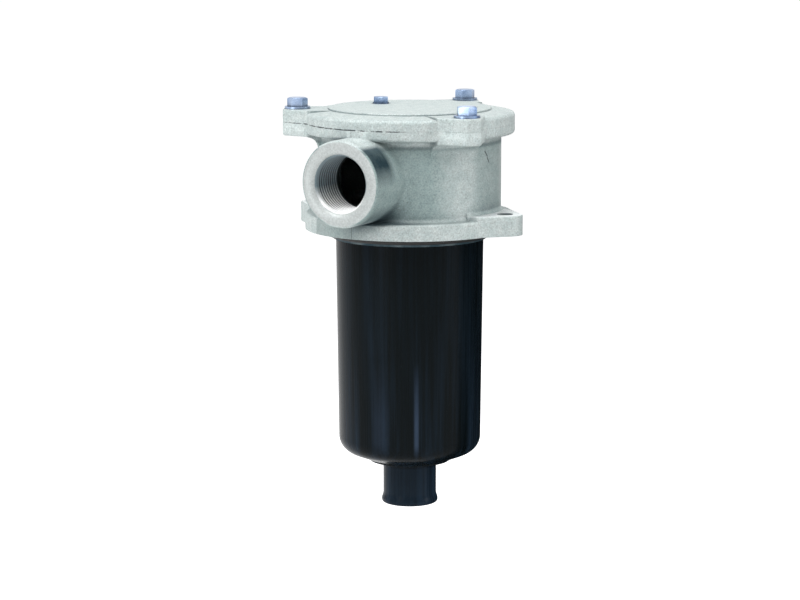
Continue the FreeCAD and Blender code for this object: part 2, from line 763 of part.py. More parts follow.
def bleed_screw():
    """Make the small screw that lets air out of the head."""
    hexagon = hex_head("bleed", "bleed_flats", "bleed_hex_height")
    shank = cylinder("bleed_stem", "bleed_shank", "bleed_length", z="-bleed_length")
    screw = pair("Part::Fuse", "bleed_screw", hexagon, shank)
    screw.Label = "bleed_screw"
    return place(screw, "-bleed_left", "bleed_back", "cover_top + bleed_washer_thick")


def bleed_washer():
    """Make the sealing washer under the bleed screw's head."""
    disc = cylinder("washer_disc", "bleed_washer", "bleed_washer_thick")
    hole = cylinder("washer_hole", "bleed_shank + fit_gap / 2", "2 * bleed_washer_thick",
                    z="-bleed_washer_thick / 2")
    washer = cut("bleed_washer", disc, [hole])
    return place(washer, "-bleed_left", "bleed_back", "cover_top")


# Bowl


def bowl():
    """Make the moulded bowl: collar, tapered wall, dished bottom, neck, tube and ribs."""
    body = new_body("bowl")
    bead_top = "neck_low + bead_height"
    turn(body, "bowl_profile", [
        ("bowl_radius - bowl_wall", "collar_top"),
        ("collar_radius", "collar_top"),
        ("collar_radius", "shoulder_height"),
        ("bowl_radius", "shoulder_height"),
        ("bowl_radius", "-spigot_drop"),
        ("edge_radius", "-bowl_edge_depth"),
        ("ring_radius", "dish_low"),
        ("ring_radius", "ring_low"),
        ("neck_radius", "ring_low"),
        ("neck_radius", bead_top + " + bead_flare"),
        ("bead_radius", bead_top),
        ("bead_radius", "neck_low"),
        ("neck_bore", "neck_low"),
        ("neck_bore", "stub_top"),
        ("stub_radius", "stub_top"),
        ("stub_radius", "floor_low"),
        ("ring_radius - bowl_wall", "floor_low"),
        ("ring_radius - bowl_wall", "floor_ring"),
        ("edge_radius - bowl_wall", "floor_edge"),
        ("bowl_radius - bowl_wall", "-spigot_drop"),
    ])
    round_edges(body, "bowl_edge", ring_edge("edge_radius", "-bowl_edge_depth"), "bowl_corner")
    round_edges(body, "bowl_inner_edge", ring_edge("edge_radius - bowl_wall", "floor_edge"),
                "bowl_corner - bowl_wall")
    round_edges(body, "ring_edge", ring_edge("ring_radius", "ring_low"), "ring_drop / 2")
    round_edges(body, "bead_edge", ring_edge("bead_radius", "neck_low"), "bead_round")
    round_edges(body, "bead_crown", ring_edge("bead_radius", bead_top), "bead_round")
    round_edges(body, "neck_flare", ring_edge("neck_radius", bead_top + " + bead_flare"),
                "2 * bead_flare")

    rib = new_sketch(body, "rib_outline", "XZ_Plane")
    inside = "neck_bore / 2 + stub_radius / 2"
    add_loop(rib, [
        (inside, "element_low"),
        ("rib_reach", "element_low"),
        ("rib_reach", "dish_low - (ring_radius - rib_reach) * dish_slope + bowl_floor / 2"),
        ("ring_radius", "dish_low + bowl_floor / 2"),
        (inside, "ring_low + bowl_floor / 2"),
    ])
    web = pad(body, "rib", rib, "rib_thickness")
    web.Midplane = True
    doc.recompute()
    repeat_round(body, "ribs", [web], RIB_COUNT)
    return body


# Filter element


def element_caps():
    """Make the element's two pressed end caps."""
    top = new_body("element_top_cap")
    turn(top, "top_cap_profile", [
        ("valve_neck + valve_neck_gap", "media_top"),
        ("element_radius - cap_skirt_wall", "media_top"),
        ("element_radius - cap_skirt_wall", "element_top - cap_skirt"),
        ("element_radius", "element_top - cap_skirt"),
        ("element_radius", "element_top"),
        ("valve_neck + valve_neck_gap", "element_top"),
    ])
    round_edges(top, "top_cap_edge", ring_edge("element_radius", "element_top"),
                "cap_round")
    low = new_body("element_bottom_cap")
    groove_low = "element_seal_height - element_cord - seal_room / 2"
    groove_top = "element_seal_height + element_cord + seal_room / 2"
    turn(low, "bottom_cap_profile", [
        ("sleeve_bore", "element_low"),
        ("element_radius", "element_low"),
        ("element_radius", "element_low + cap_skirt"),
        ("element_radius - cap_skirt_wall", "element_low + cap_skirt"),
        ("element_radius - cap_skirt_wall", "media_low"),
        ("sleeve_radius", "media_low"),
        ("sleeve_radius", "element_low + cap_skirt"),
        ("sleeve_bore", "element_low + cap_skirt"),
        ("sleeve_bore", groove_top),
        ("element_groove", groove_top),
        ("element_groove", groove_low),
        ("sleeve_bore", groove_low),
    ])
    round_edges(low, "bottom_cap_edge", ring_edge("element_radius", "element_low"),
                "cap_round")
    return [top, low]


def element_core():
    """Make the core tube with its rows of windows."""
    body = new_body("element_core")
    turn(body, "core_tube", [
        ("core_radius - core_wall", "media_low"),
        ("core_radius", "media_low"),
        ("core_radius", "media_top"),
        ("core_radius - core_wall", "media_top"),
    ])
    windows = new_sketch(body, "window_outline", "XZ_Plane")
    for row in range(CORE_ROWS):
        middle = "(media_low + (media_top - media_low) * %g)" % ((row + 0.5) / CORE_ROWS)
        low = middle + " - core_window_height / 2"
        high = middle + " + core_window_height / 2"
        add_loop(windows, [
            ("-core_window_width / 2", low),
            ("core_window_width / 2", low),
            ("core_window_width / 2", high),
            ("-core_window_width / 2", high),
        ])
    cut_windows = pocket_through(body, "windows", windows)
    repeat_round(body, "window_rows", [cut_windows], 2 * CORE_COLUMN_PAIRS)
    return body


def element_media():
    """Make the pleated sheet: a closed zigzag between two radii, with flat fold tips."""
    outer = value("element_radius - cap_skirt_wall - media_gap")
    inner = value("core_radius + media_gap")
    sheet_thick = value("media_sheet")
    step = 2 * math.pi / PLEAT_COUNT

    def spot(radius, angle):
        return FreeCAD.Vector(radius * math.cos(angle), radius * math.sin(angle), 0)

    outside = []
    inside = []
    for index in range(PLEAT_COUNT):
        crest = index * step
        valley = crest + step / 2
        outside.append(spot(outer, crest - sheet_thick / outer))
        outside.append(spot(outer, crest + sheet_thick / outer))
        outside.append(spot(inner + sheet_thick, valley))
        inside.append(spot(outer - sheet_thick, crest))
        inside.append(spot(inner, valley - sheet_thick / inner))
        inside.append(spot(inner, valley + sheet_thick / inner))
    wires = [Part.makePolygon(loop + loop[:1]) for loop in (outside, inside)]
    item = doc.addObject("Part::Feature", "element_media")
    item.Label = "element_media"
    height = value("media_top - media_low")
    ring = Part.makeFace(wires, "Part::FaceMakerBullseye")
    item.Shape = ring.extrude(FreeCAD.Vector(0, 0, height))
    return place(item, z="media_low")


# Bypass valve


def bypass_body():
    """Make the valve body: flange, neck with its seat, and a hub on three spokes."""
    body = new_body("bypass_body")
    turn(body, "valve_profile", [
        ("valve_bore", "valve_seat"),
        ("valve_neck", "valve_seat"),
        ("valve_neck", "valve_base"),
        ("valve_flange", "valve_base"),
        ("valve_flange", "valve_top"),
        ("valve_bore", "valve_top"),
    ])
    spoke = new_sketch(body, "spoke_outline", "XY_Plane", "element_top")
    add_loop(spoke, [
        ("0", "-spoke_width / 2"),
        ("(valve_bore + valve_neck) / 2", "-spoke_width / 2"),
        ("(valve_bore + valve_neck) / 2", "spoke_width / 2"),
        ("0", "spoke_width / 2"),
    ])
    spokes = pad(body, "spoke", spoke, "valve_top - element_top")
    repeat_round(body, "spokes", [spokes], SPOKE_COUNT)
    hub = new_sketch(body, "hub_outline", "XY_Plane", "element_top - hub_depth")
    add_circle(hub, "0", "0", "hub_radius")
    pad(body, "hub", hub, "hub_height + hub_depth")
    guide = new_sketch(body, "guide_outline", "XY_Plane", "element_top")
    add_circle(guide, "0", "0", "stem_radius + stem_gap")
    pocket_through(body, "guide", guide)
    return body


def bypass_poppet():
    """Make the poppet: a disc with a groove for its seal, and a stem with a clip groove."""
    body = new_body("bypass_poppet")
    seal_out = "poppet_radius - (poppet_thickness - poppet_groove) / 4"
    seal_in = "(%s - poppet_seal_width)" % seal_out
    groove = "poppet_top - poppet_groove"
    turn(body, "poppet_profile", [
        ("0", "poppet_top - poppet_thickness"),
        ("poppet_radius", "poppet_top - poppet_thickness"),
        ("poppet_radius", "poppet_top"),
        (seal_out, "poppet_top"),
        (seal_out, groove),
        (seal_in, groove),
        (seal_in, "poppet_top"),
        ("stem_radius", "poppet_top"),
        ("stem_radius", "clip_low"),
        ("clip_groove", "clip_low"),
        ("clip_groove", "clip_top"),
        ("stem_radius", "clip_top"),
        ("stem_radius", "stem_top"),
        ("0", "stem_top"),
    ])
    seal = new_body("poppet_seal")
    turn(seal, "poppet_seal_profile", [
        (seal_in, groove),
        (seal_out, groove),
        (seal_out, "seal_top"),
        (seal_in, "seal_top"),
    ])
    return [body, seal]


def stem_washers():
    """Make the washer and the open clip that hold the bypass spring on the stem."""
    disc = cylinder("retainer_disc", "retainer_radius", "retainer_thickness")
    hole = cylinder("retainer_hole", "stem_radius + stem_gap", "2 * retainer_thickness",
                    z="-retainer_thickness / 2")
    retainer = place(cut("spring_retainer", disc, [hole]), z="retainer_low")
    plate = cylinder("clip_disc", "clip_radius", "clip_thickness")
    seat = cylinder("clip_hole", "clip_groove + fit_gap", "3 * clip_thickness",
                    z="-clip_thickness")
    slot = doc.addObject("Part::Box", "clip_slot")
    bind(slot, Length="2 * clip_groove", Width="2 * clip_radius", Height="3 * clip_thickness")
    place(slot, x="-clip_groove", z="-clip_thickness")
    clip = place(cut("retaining_clip", plate, [seat, slot]), z="clip_low")
    return [retainer, clip]


def bypass_gasket():
    """Make the flat gasket between valve body and element."""
    disc = cylinder("gasket_disc", "gasket_radius", "gasket_thickness")
    hole = cylinder("gasket_hole", "valve_neck + valve_neck_gap", "2 * gasket_thickness",
                    z="-gasket_thickness / 2")
    return place(cut("bypass_gasket", disc, [hole]), z="element_top")


# Springs


def coil_spring(label, mean, wire, low, high, turns):
    """Make a compression spring with closed ends, ground flat between two heights."""
    mean_at = value(mean)
    wire_at = value(wire)
    bottom = value(low)
    top = value(high)
    close = 2 * wire_at * COIL_CLOSE
    rise = top - bottom - 2 * END_TURNS * close
    active = turns - 2 * END_TURNS
    steps = int(round(turns * COIL_STEPS))
    spots = []
    for index in range(steps + 1):
        done = turns * index / steps
        part = min(max(done - END_TURNS, 0.0), active) / active
        ends = min(done, END_TURNS) + max(done - turns + END_TURNS, 0.0)
        eased = part - COIL_EASE * (part - 3 * part ** 2 + 2 * part ** 3)
        height = bottom + close * ends + rise * eased
        angle = 2 * math.pi * done
        spots.append(FreeCAD.Vector(mean_at * math.cos(angle), mean_at * math.sin(angle), height))
    path = Part.BSplineCurve()
    path.interpolate(spots)
    spine = Part.Wire(path.toShape())
    start = path.value(path.FirstParameter)
    heading = path.tangent(path.FirstParameter)[0]
    section = Part.Wire(Part.Circle(start, heading, wire_at).toShape())
    rod = spine.makePipeShell([section], True, True)
    slab = Part.makeCylinder(2 * mean_at, top - bottom, FreeCAD.Vector(0, 0, bottom))
    item = doc.addObject("Part::Feature", label)
    item.Label = label
    item.Shape = rod.common(slab)
    return item


def seals():
    """Make the four rings of round cord."""
    return [
        torus("cover_seal", "cover_seal_radius", "cover_cord", "head_height + cover_cord"),
        torus("bowl_seal", "bowl_radius + bowl_cord + fit_gap", "bowl_cord",
              "shoulder_height - bowl_cord"),
        torus("tank_seal", "spigot_radius + tank_cord + fit_gap", "tank_cord",
              "seat_recess - tank_cord - fit_gap"),
        torus("element_seal", "stub_radius + element_cord + fit_gap / 2", "element_cord",
              "element_seal_height"),
    ]


def check_all():
    """Stop if any object failed to build or is no valid shape."""
    for item in doc.Objects:
        for state in item.State:
            if state in ("Invalid", "Error"):
                raise RuntimeError("%s is %s" % (item.Name, state))


def main():
    """Build every sub-part and write one file for each."""
    parts = [head_casting(), cover(), cover_bolts(), bleed_screw(), bleed_washer(), bowl()]
    parts += element_caps()
    parts += [element_core(), element_media(), bypass_body()]
    parts += bypass_poppet()
    parts += stem_washers()
    parts.append(bypass_gasket())
    parts.append(coil_spring("hold_down_spring", "hold_radius", "hold_wire",
                             "valve_top", "cover_ceiling", HOLD_TURNS))
    parts.append(coil_spring("bypass_spring", "valve_spring_radius", "valve_spring_wire",
                             "hub_top", "retainer_low", VALVE_SPRING_TURNS))
    parts += seals()
    doc.recompute()
    check_all()
    os.makedirs("parts", exist_ok=True)
    for part in parts:
        shape = part.Shape
        if shape.isNull() or not shape.isValid() or not shape.Solids:
            raise RuntimeError("%s has no valid solid" % part.Label)
        print("%-20s solids %d volume %10.1f mm3" % (part.Label, len(shape.Solids), shape.Volume))
        shape.exportStep(os.path.join("parts", part.Label + ".step"))


main()
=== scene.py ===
"""Looks of the return line filter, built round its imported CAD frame.

Lengths are metres in the frame's own axes: +Z up along the bowl, -Y out of the inlet port and
X through the two mounting ears. The origin is in the seat plane on the bowl's axis.
"""
import json
import logging
import math
from dataclasses import dataclass
from enum import Enum
from typing import Callable, Optional, Sequence, Union

import bmesh
import bpy
from mathutils import Matrix, Vector


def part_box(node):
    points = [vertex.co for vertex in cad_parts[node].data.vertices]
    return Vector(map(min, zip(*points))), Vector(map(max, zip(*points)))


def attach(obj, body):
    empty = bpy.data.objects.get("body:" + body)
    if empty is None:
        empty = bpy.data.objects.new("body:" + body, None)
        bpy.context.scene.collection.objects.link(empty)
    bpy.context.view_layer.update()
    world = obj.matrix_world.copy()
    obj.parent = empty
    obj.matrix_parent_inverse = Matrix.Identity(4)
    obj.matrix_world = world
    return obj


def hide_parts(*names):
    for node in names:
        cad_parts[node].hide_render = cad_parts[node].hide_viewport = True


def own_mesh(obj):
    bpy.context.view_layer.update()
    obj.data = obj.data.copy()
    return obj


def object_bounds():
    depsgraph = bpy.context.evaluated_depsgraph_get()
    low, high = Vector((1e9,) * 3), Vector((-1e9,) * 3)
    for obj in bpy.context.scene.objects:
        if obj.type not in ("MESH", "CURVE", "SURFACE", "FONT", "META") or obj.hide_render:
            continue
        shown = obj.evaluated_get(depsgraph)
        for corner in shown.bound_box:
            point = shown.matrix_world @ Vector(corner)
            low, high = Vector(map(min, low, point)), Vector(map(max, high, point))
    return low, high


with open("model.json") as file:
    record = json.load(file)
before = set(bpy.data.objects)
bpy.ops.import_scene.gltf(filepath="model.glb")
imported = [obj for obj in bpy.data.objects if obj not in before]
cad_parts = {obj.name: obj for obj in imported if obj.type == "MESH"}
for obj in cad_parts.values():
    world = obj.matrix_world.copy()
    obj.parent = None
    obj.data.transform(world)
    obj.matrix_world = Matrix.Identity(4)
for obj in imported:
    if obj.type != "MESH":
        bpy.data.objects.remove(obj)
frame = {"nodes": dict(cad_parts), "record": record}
CAD_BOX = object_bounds()

LOG = logging.getLogger("return_line_filter")
MM = 0.001
EDGE = 0.05 * MM
FIXED_BODY = "filter"
PORT = next(mount for mount in frame["record"]["mounts"] if mount["name"] == "inlet_port")
PORT_HEIGHT = PORT["pos_m"][2]
PORT_BORE = PORT["dims"]["r_mm"] * MM

Colour = tuple[float, float, float]
Point = tuple[float, float, float]
Span = tuple[float, float]
Socket = bpy.types.NodeSocket
Value = Union[Socket, float]
Inputs = dict[Union[str, int], object]


class Finish(Enum):
    """Names of the finishes, one for each kind of surface."""

    CASTING = "blasted_casting"
    COVER = "blasted_cover"
    THREAD = "cut_thread"
    ZINC = "bluish_zinc"
    BOWL = "black_moulding"
    VALVE = "valve_moulding"
    TIN = "tinned_sheet"
    CORE = "perforated_sheet"
    TURNED = "turned_steel"
    WIRE = "spring_wire"
    PAPER = "pleated_paper"
    FIBRE = "gasket_fibre"
    RUBBER = "seal_rubber"


class Nodes:
    """A node tree while it is being built."""

    def __init__(self, tree: bpy.types.NodeTree) -> None:
        """Take a tree.

        Args:
            tree: The tree that gets the nodes.
        """
        self.tree = tree

    def add(self, kind: str, inputs: Optional[Inputs] = None, **settings: object) -> bpy.types.Node:
        """Add a node.

        Args:
            kind: The node's type name.
            inputs: What its inputs get, by name or number.
            settings: Its properties, by name.

        Returns:
            The new node.
        """
        node = self.tree.nodes.new(kind)
        for name, value in settings.items():
            setattr(node, name, value)
        for name, value in (inputs or {}).items():
            self.feed(node.inputs[name], value)
        return node

    def feed(self, target: Socket, value: object) -> None:
        """Link a socket to an input, or set the input to a plain value.

        Args:
            target: The input.
            value: A socket, number, colour or vector.
        """
        if isinstance(value, bpy.types.NodeSocket):
            self.tree.links.new(value, target)
        elif isinstance(value, tuple) and target.type == "RGBA":
            target.default_value = (*value, 1.0)
        else:
            target.default_value = value

    def math(self, operation: str, first: Value, second: Value = 0.0) -> Socket:
        """Work out one step of arithmetic."""
        return self.add("ShaderNodeMath", {0: first, 1: second}, operation=operation).outputs[0]

    def fold(self, operation: str, values: Sequence[Value]) -> Socket:
        """Join several values, each with what the ones before it gave.

        Args:
            operation: The math node's operation.
            values: The values.

        Returns:
            The result.
        """
        result = values[0]
        for value in values[1:]:
            result = self.math(operation, result, value)
        return result

    def times(self, *factors: Value) -> Socket:
        """Multiply several values."""
        return self.fold("MULTIPLY", factors)

    def either(self, *masks: Socket) -> Socket:
        """Give the largest of several masks."""
        return self.fold("MAXIMUM", masks)

    def both(self, *masks: Socket) -> Socket:
        """Give the smallest of several masks."""
        return self.fold("MINIMUM", masks)

    def spread(self, value: Value, low: float, high: float, at_low: float = 0.0,
               at_high: float = 1.0) -> Socket:
        """Map a range of one value to a range of another, held at both ends.

        Args:
            value: What is mapped.
            low: Where the range starts.
            high: Where the range ends.
            at_low: The result at the start.
            at_high: The result at the end.

        Returns:
            The mapped value.
        """
        ends = {"From Min": low, "From Max": high, "To Min": at_low, "To Max": at_high}
        return self.add("ShaderNodeMapRange", {"Value": value, **ends}, clamp=True).outputs["Result"]


class Tree(Nodes):
    """The node tree of a new material."""

    def __init__(self, name: str) -> None:
        """Start an empty material.

        Args:
            name: The material's name.
        """
        self.material = bpy.data.materials.new(name)
        self.material.use_nodes = True
        super().__init__(self.material.node_tree)
        self.tree.nodes.clear()
        self.spot = self.add("ShaderNodeTexCoord").outputs["Object"]
        self.x, self.y, self.z = self.add("ShaderNodeSeparateXYZ", {0: self.spot}).outputs

    def vector(self, operation: str, first: object, second: object = (0.0, 0.0, 0.0),
               output: str = "Vector") -> Socket:
        """Work out one step with vectors and give one of its outputs."""
        return self.add("ShaderNodeVectorMath", {0: first, 1: second}, operation=operation).outputs[output]

    def off(self, value: Value, place: float) -> Socket:
        """Give how far a value is from a place, either way."""
        return self.math("ABSOLUTE", self.math("SUBTRACT", value, place))

    def above(self, value: Value, edge: float, soft: float = EDGE) -> Socket:
        """Rise from 0 to 1 where a value passes an edge."""
        return self.spread(value, edge - soft, edge + soft)

    def below(self, value: Value, edge: float, soft: float = EDGE) -> Socket:
        """Fall from 1 to 0 where a value passes an edge."""
        return self.spread(value, edge - soft, edge + soft, 1.0, 0.0)

    def within(self, value: Value, span: Span, soft: float = EDGE) -> Socket:
        """Give 1 where a value lies between two edges."""
        return self.both(self.above(value, span[0], soft), self.below(value, span[1], soft))

    def rise(self) -> Socket:
        """Give the height over the port's axis."""
        return self.math("SUBTRACT", self.z, PORT_HEIGHT)

    def reach(self, first: Value, second: Value) -> Socket:
        """Give the length of a pair of coordinates."""
        pair = self.add("ShaderNodeCombineXYZ", {0: first, 1: second})
        return self.vector("LENGTH", pair.outputs[0], output="Value")

    def toward(self, first: Value, second: Value, angle: float) -> Socket:
        """Give how far a pair of coordinates points in one direction.

        Args:
            first: The first coordinate.
            second: The second coordinate.
            angle: The direction's angle from the first axis.

        Returns:
            The cosine of the angle between the two.
        """
        along = self.math("ADD", self.times(first, math.cos(angle)), self.times(second, math.sin(angle)))
        return self.math("DIVIDE", along, self.reach(first, second))

    def stretched(self, scale: Point) -> Socket:
        """Give the place on the object, stretched along the axes."""
        return self.vector("MULTIPLY", self.spot, scale)

    def noise(self, size: float, detail: float = 3.0, roughness: float = 0.5,
              spot: Optional[Socket] = None) -> Socket:
        """Make smooth noise.

        Args:
            size: The size of its largest lumps, in metres.
            detail: How many finer layers it has.
            roughness: How strong the finer layers are.
            spot: Where it is read, or None for the place on the object.

        Returns:
            The noise, about 0.5 on average.
        """
        inputs = {"Vector": spot or self.spot, "Scale": 1.0 / size, "Detail": detail, "Roughness": roughness}
        return self.add("ShaderNodeTexNoise", inputs, noise_dimensions="3D").outputs["Fac"]

    def cells(self, size: float) -> Socket:
        """Give the distance to the middle of the nearest cell of a pattern of cells."""
        inputs = {"Vector": self.spot, "Scale": 1.0 / size}
        return self.add("ShaderNodeTexVoronoi", inputs, feature="F1").outputs["Distance"]

    def openness(self, reach: float) -> Socket:
        """Give how much of the surroundings is open, 1 on a free surface."""
        return self.add("ShaderNodeAmbientOcclusion", {"Distance": reach}, samples=8).outputs["AO"]

    def tint(self, share: Value, first: object, second: object) -> Socket:
        """Blend two colours.

        Args:
            share: How much of the second colour shows.
            first: The colour at 0.
            second: The colour at 1.

        Returns:
            The blended colour.
        """
        return self.add("ShaderNodeMix", {0: share, 6: first, 7: second}, data_type="RGBA").outputs[2]

    def toned(self, colour: Socket, tone: Colour) -> Socket:
        """Multiply a colour by a fixed one."""
        return self.vector("MULTIPLY", colour, tone)

    def scaled(self, vector: object, factor: Value) -> Socket:
        """Scale a colour or a vector."""
        return self.add("ShaderNodeVectorMath", {0: vector, "Scale": factor}, operation="SCALE").outputs[0]

    def bump(self, height: Socket, depth: float, strength: float = 1.0) -> Socket:
        """Make relief in the shading.

        Args:
            height: The height, from 0 to 1.
            depth: What a height of 1 measures, in metres.
            strength: How strongly it shows.

        Returns:
            The changed normal.
        """
        inputs = {"Strength": strength, "Distance": depth, "Height": height}
        return self.add("ShaderNodeBump", inputs).outputs["Normal"]

    def finish(self, **inputs: object) -> bpy.types.Material:
        """End the tree in a Principled shader.

        Args:
            inputs: The shader's inputs, with _ for spaces in their names.

        Returns:
            The material.
        """
        shader = self.add("ShaderNodeBsdfPrincipled",
                          {name.replace("_", " "): value for name, value in inputs.items()})
        self.add("ShaderNodeOutputMaterial", {"Surface": shader.outputs[0]})
        return self.material


Mask = Callable[[Tree], Socket]


@dataclass(frozen=True)
class CastFinish:
    """Blasted cast aluminium, bright where a mask says that it is machined."""

    kind: Finish
    colour: Colour = (0.585, 0.645, 0.635)
    shade: Colour = (0.485, 0.560, 0.555)
    bright: Colour = (0.480, 0.515, 0.510)
    # Dark colour of the joint, the seam and the nicks, and painted shade in the thread's roots.
    dark: Colour = (0.045, 0.055, 0.058)
    metallic: float = 0.22
    bare_metallic: float = 0.3
    roughness: float = 0.56
    bare_roughness: float = 0.36
    specular: float = 0.5
    # Lower specular level under the port's painted shade, for a darker reflection there.
    port_shade_specular: float = 0.05
    grain: float = 0.85 * MM
    mottle: float = 4.5 * MM
    relief: float = 0.20 * MM
    cut: float = 0.9 * MM
    # Painted shade: a darker tone on the wall between the flanges and on the port's boss.
    wall_shade: Colour = (0.54, 0.62, 0.62)
    wall_span: Span = (10.5 * MM, 50.5 * MM)
    wall_out: float = 53.4 * MM
    wall_front: float = -45.0 * MM
    # Painted light: a lighter strip on the wall towards +X, fading out under the top flange.
    lit_strip_from: Span = (0.68, 0.88)
    lit_strip_to: Span = (0.93, 0.98)
    lit_strip_top: Span = (47.0 * MM, 50.0 * MM)
    rim_shade: Span = (48.4 * MM, 50.3 * MM)
    # Painted shade: the colour laid in corners, from ambient occlusion, and under the top flange.
    crease: Colour = (0.050, 0.082, 0.095)
    crease_reach: float = 26.0 * MM
    crease_open: Span = (0.36, 0.84)
    crease_share: float = 0.90
    beside_port: float = 0.30
    # Painted shade: the tone and places of a darker patch over and under the port's boss and on the ledge
    # below.
    skin: Colour = (0.070, 0.110, 0.140)
    port_shade_span: Span = (-76.2 * MM, -59.0 * MM)
    port_shade_top: float = 52.0 * MM
    port_shade_angle: float = math.radians(48)
    boss: Span = (21.5 * MM, 27.0 * MM)
    under_angle: float = math.radians(-65.2)
    under_start: float = -73.0 * MM
    under_share: float = 0.62
    ledge: float = -0.3 * MM
    # Painted shadow: a darker tone on the flange in front, below the port.
    port_shadow_tone: Colour = (0.62, 0.66, 0.66)
    port_shadow_front: float = -50.0 * MM
    flange_top: float = 9.0 * MM
    # Pale tops of the mounting ears: partly their machined face and partly a painted highlight.
    machined_ear_highlight: Colour = (0.93, 0.97, 0.97)
    ear_highlight_out: float = 46.0 * MM
    ear_top: float = 11.3 * MM
    bore_span: Span = (14.9 * MM, 17.0 * MM)
    root_span: Span = (-74.0 * MM, -50.0 * MM)
    joint_height: float = 59.6 * MM
    joint_clear: float = 52.0 * MM
    joint_angle: float = math.radians(-105)
    joint_lumps: float = 3.2 * MM
    joint_gap: float = 0.36 * MM
    seam_place: float = -3.4 * MM
    seam_half: float = 0.16 * MM
    seam_out: Span = (-60.0 * MM, -56.5 * MM)
    seam_rim: Span = (53.6 * MM, 60.0 * MM)
    seam_flange: float = 8.4 * MM
    seam_share: float = 0.72
    nick_half: float = 0.42 * MM
    nick_soft: float = 0.16 * MM
    nick_share: float = 0.85
    nicks: tuple[tuple[Point, Point], ...] = (
        ((51.1 * MM, -6.4 * MM, 46.2 * MM), (51.2 * MM, -4.0 * MM, 43.4 * MM)),
        ((51.2 * MM, -3.9 * MM, 42.4 * MM), (51.3 * MM, -2.2 * MM, 39.8 * MM)),
    )

    def joint(self, tree: Tree) -> Socket:
        """Mask the joint's ragged line, plain to see in front and faint elsewhere.

        Args:
            tree: The material's tree.

        Returns:
            The mask.
        """
        front = tree.spread(tree.toward(tree.x, tree.y, self.joint_angle), 0.72, 0.80, 0.16, 1.0)
        ragged = tree.spread(tree.noise(self.joint_lumps, 3.0, 0.6), 0.36, 0.54, 0.0, self.joint_gap)
        width = tree.times(ragged, tree.spread(front, 0.0, 1.0, 0.5, 1.0))
        crack = tree.math("LESS_THAN", tree.off(tree.z, self.joint_height), width)
        return tree.times(crack, tree.above(tree.reach(tree.x, tree.y), self.joint_clear), front)

    def seam(self, tree: Tree) -> Socket:
        """Mask the mould's parting line down the front of the two flanges.

        Args:
            tree: The material's tree.

        Returns:
            The mask.
        """
        line = tree.below(tree.off(tree.x, self.seam_place), self.seam_half)
        edges = tree.either(tree.within(tree.z, self.seam_rim), tree.below(tree.z, self.seam_flange))
        return tree.times(tree.both(line, tree.within(tree.y, self.seam_out), edges), self.seam_share)

    def painted_port_shade(self, tree: Tree) -> Socket:
        """Mask the painted shade over and under the port's boss, and on the ledge below.

        Args:
            tree: The material's tree.

        Returns:
            The mask.
        """
        rise = tree.rise()
        around = tree.reach(tree.x, rise)
        low, high = self.boss
        boss = tree.both(tree.above(around, low, 1.0 * MM), tree.below(around, high, 3.0 * MM))
        start, end = self.port_shade_span
        behind = tree.both(tree.above(tree.y, start, 0.4 * MM), tree.below(tree.y, end, 3.0 * MM))
        under_rim = tree.below(tree.z, self.port_shade_top, 1.0 * MM)
        over = tree.spread(tree.toward(tree.x, rise, self.port_shade_angle), 0.62, 0.92)
        over = tree.times(over, tree.both(boss, behind, under_rim))
        under = tree.spread(tree.toward(tree.x, rise, self.under_angle), 0.80, 0.96, 0.0, self.under_share)
        under = tree.times(under, tree.both(boss, tree.above(tree.y, self.under_start, 2.0 * MM)))
        patches = tree.either(over, under, tree.below(tree.z, self.ledge))
        return tree.times(patches, tree.spread(tree.noise(9.0 * MM), 0.3, 0.6, 0.8, 1.0))

    def thread_root(self, tree: Tree) -> Socket:
        """Mask the bore's wall between the thread's ridges, where shade is painted."""
        around = tree.reach(tree.x, tree.rise())
        return tree.both(tree.within(around, self.bore_span), tree.within(tree.y, self.root_span))

    def crease_shade(self, tree: Tree) -> Socket:
        """Mask the painted shade in corners, from ambient occlusion, less so to the right of the port.

        Args:
            tree: The material's tree.

        Returns:
            The mask.
        """
        rise = tree.rise()
        beside = tree.both(
            tree.below(tree.reach(tree.x, rise), 36.0 * MM, 6.0 * MM), tree.above(rise, -4.0 * MM, 4.0 * MM),
            tree.below(tree.y, -36.0 * MM), tree.above(tree.x, 4.0 * MM, 3.0 * MM))
        occluded_shade = tree.spread(tree.openness(self.crease_reach), *self.crease_open, self.crease_share, 0.0)
        return tree.times(occluded_shade, tree.spread(beside, 0.0, 1.0, 1.0, self.beside_port))

    def strokes(self, tree: Tree) -> Socket:
        """Mask the short dark nicks in the wall.

        Args:
            tree: The material's tree.

        Returns:
            The mask.
        """
        marks = []
        for start, end in self.nicks:
            run = Vector(end) - Vector(start)
            from_start = tree.vector("SUBTRACT", tree.spot, start)
            along = tree.vector("DOT_PRODUCT", from_start, tuple(run / run.length_squared), "Value")
            nearest = tree.scaled(tuple(run), tree.spread(along, 0.0, 1.0))
            gap = tree.vector("DISTANCE", from_start, nearest, "Value")
            marks.append(tree.below(gap, self.nick_half, self.nick_soft))
        return tree.times(tree.either(*marks), self.nick_share)

    def wall(self, tree: Tree) -> Socket:
        """Mask the wall between the flanges, with the port's boss, where shade is painted.

        Args:
            tree: The material's tree.

        Returns:
            The mask.
        """
        inward = tree.either(tree.below(tree.reach(tree.x, tree.y), self.wall_out, 0.8 * MM),
                             tree.below(tree.y, self.wall_front, 2.0 * MM))
        return tree.both(tree.within(tree.z, self.wall_span, 1.2 * MM), inward)

    def wall_shade_share(self, tree: Tree) -> Socket:
        """Give how much of the wall's painted shade stays, least along a painted lighter strip towards +X.

        Args:
            tree: The material's tree.

        Returns:
            The share that stays.
        """
        outward = tree.toward(tree.x, tree.y, 0.0)
        side = tree.both(tree.spread(outward, *self.lit_strip_from, 0.0, 0.85),
                         tree.spread(outward, *self.lit_strip_to, 1.0, 0.30))
        # The painted lighter strip, fading out under the top flange.
        swept = tree.times(side, tree.spread(tree.z, *self.lit_strip_top, 1.0, 0.0))
        return tree.spread(swept, 0.0, 1.0, 1.0, 0.0)

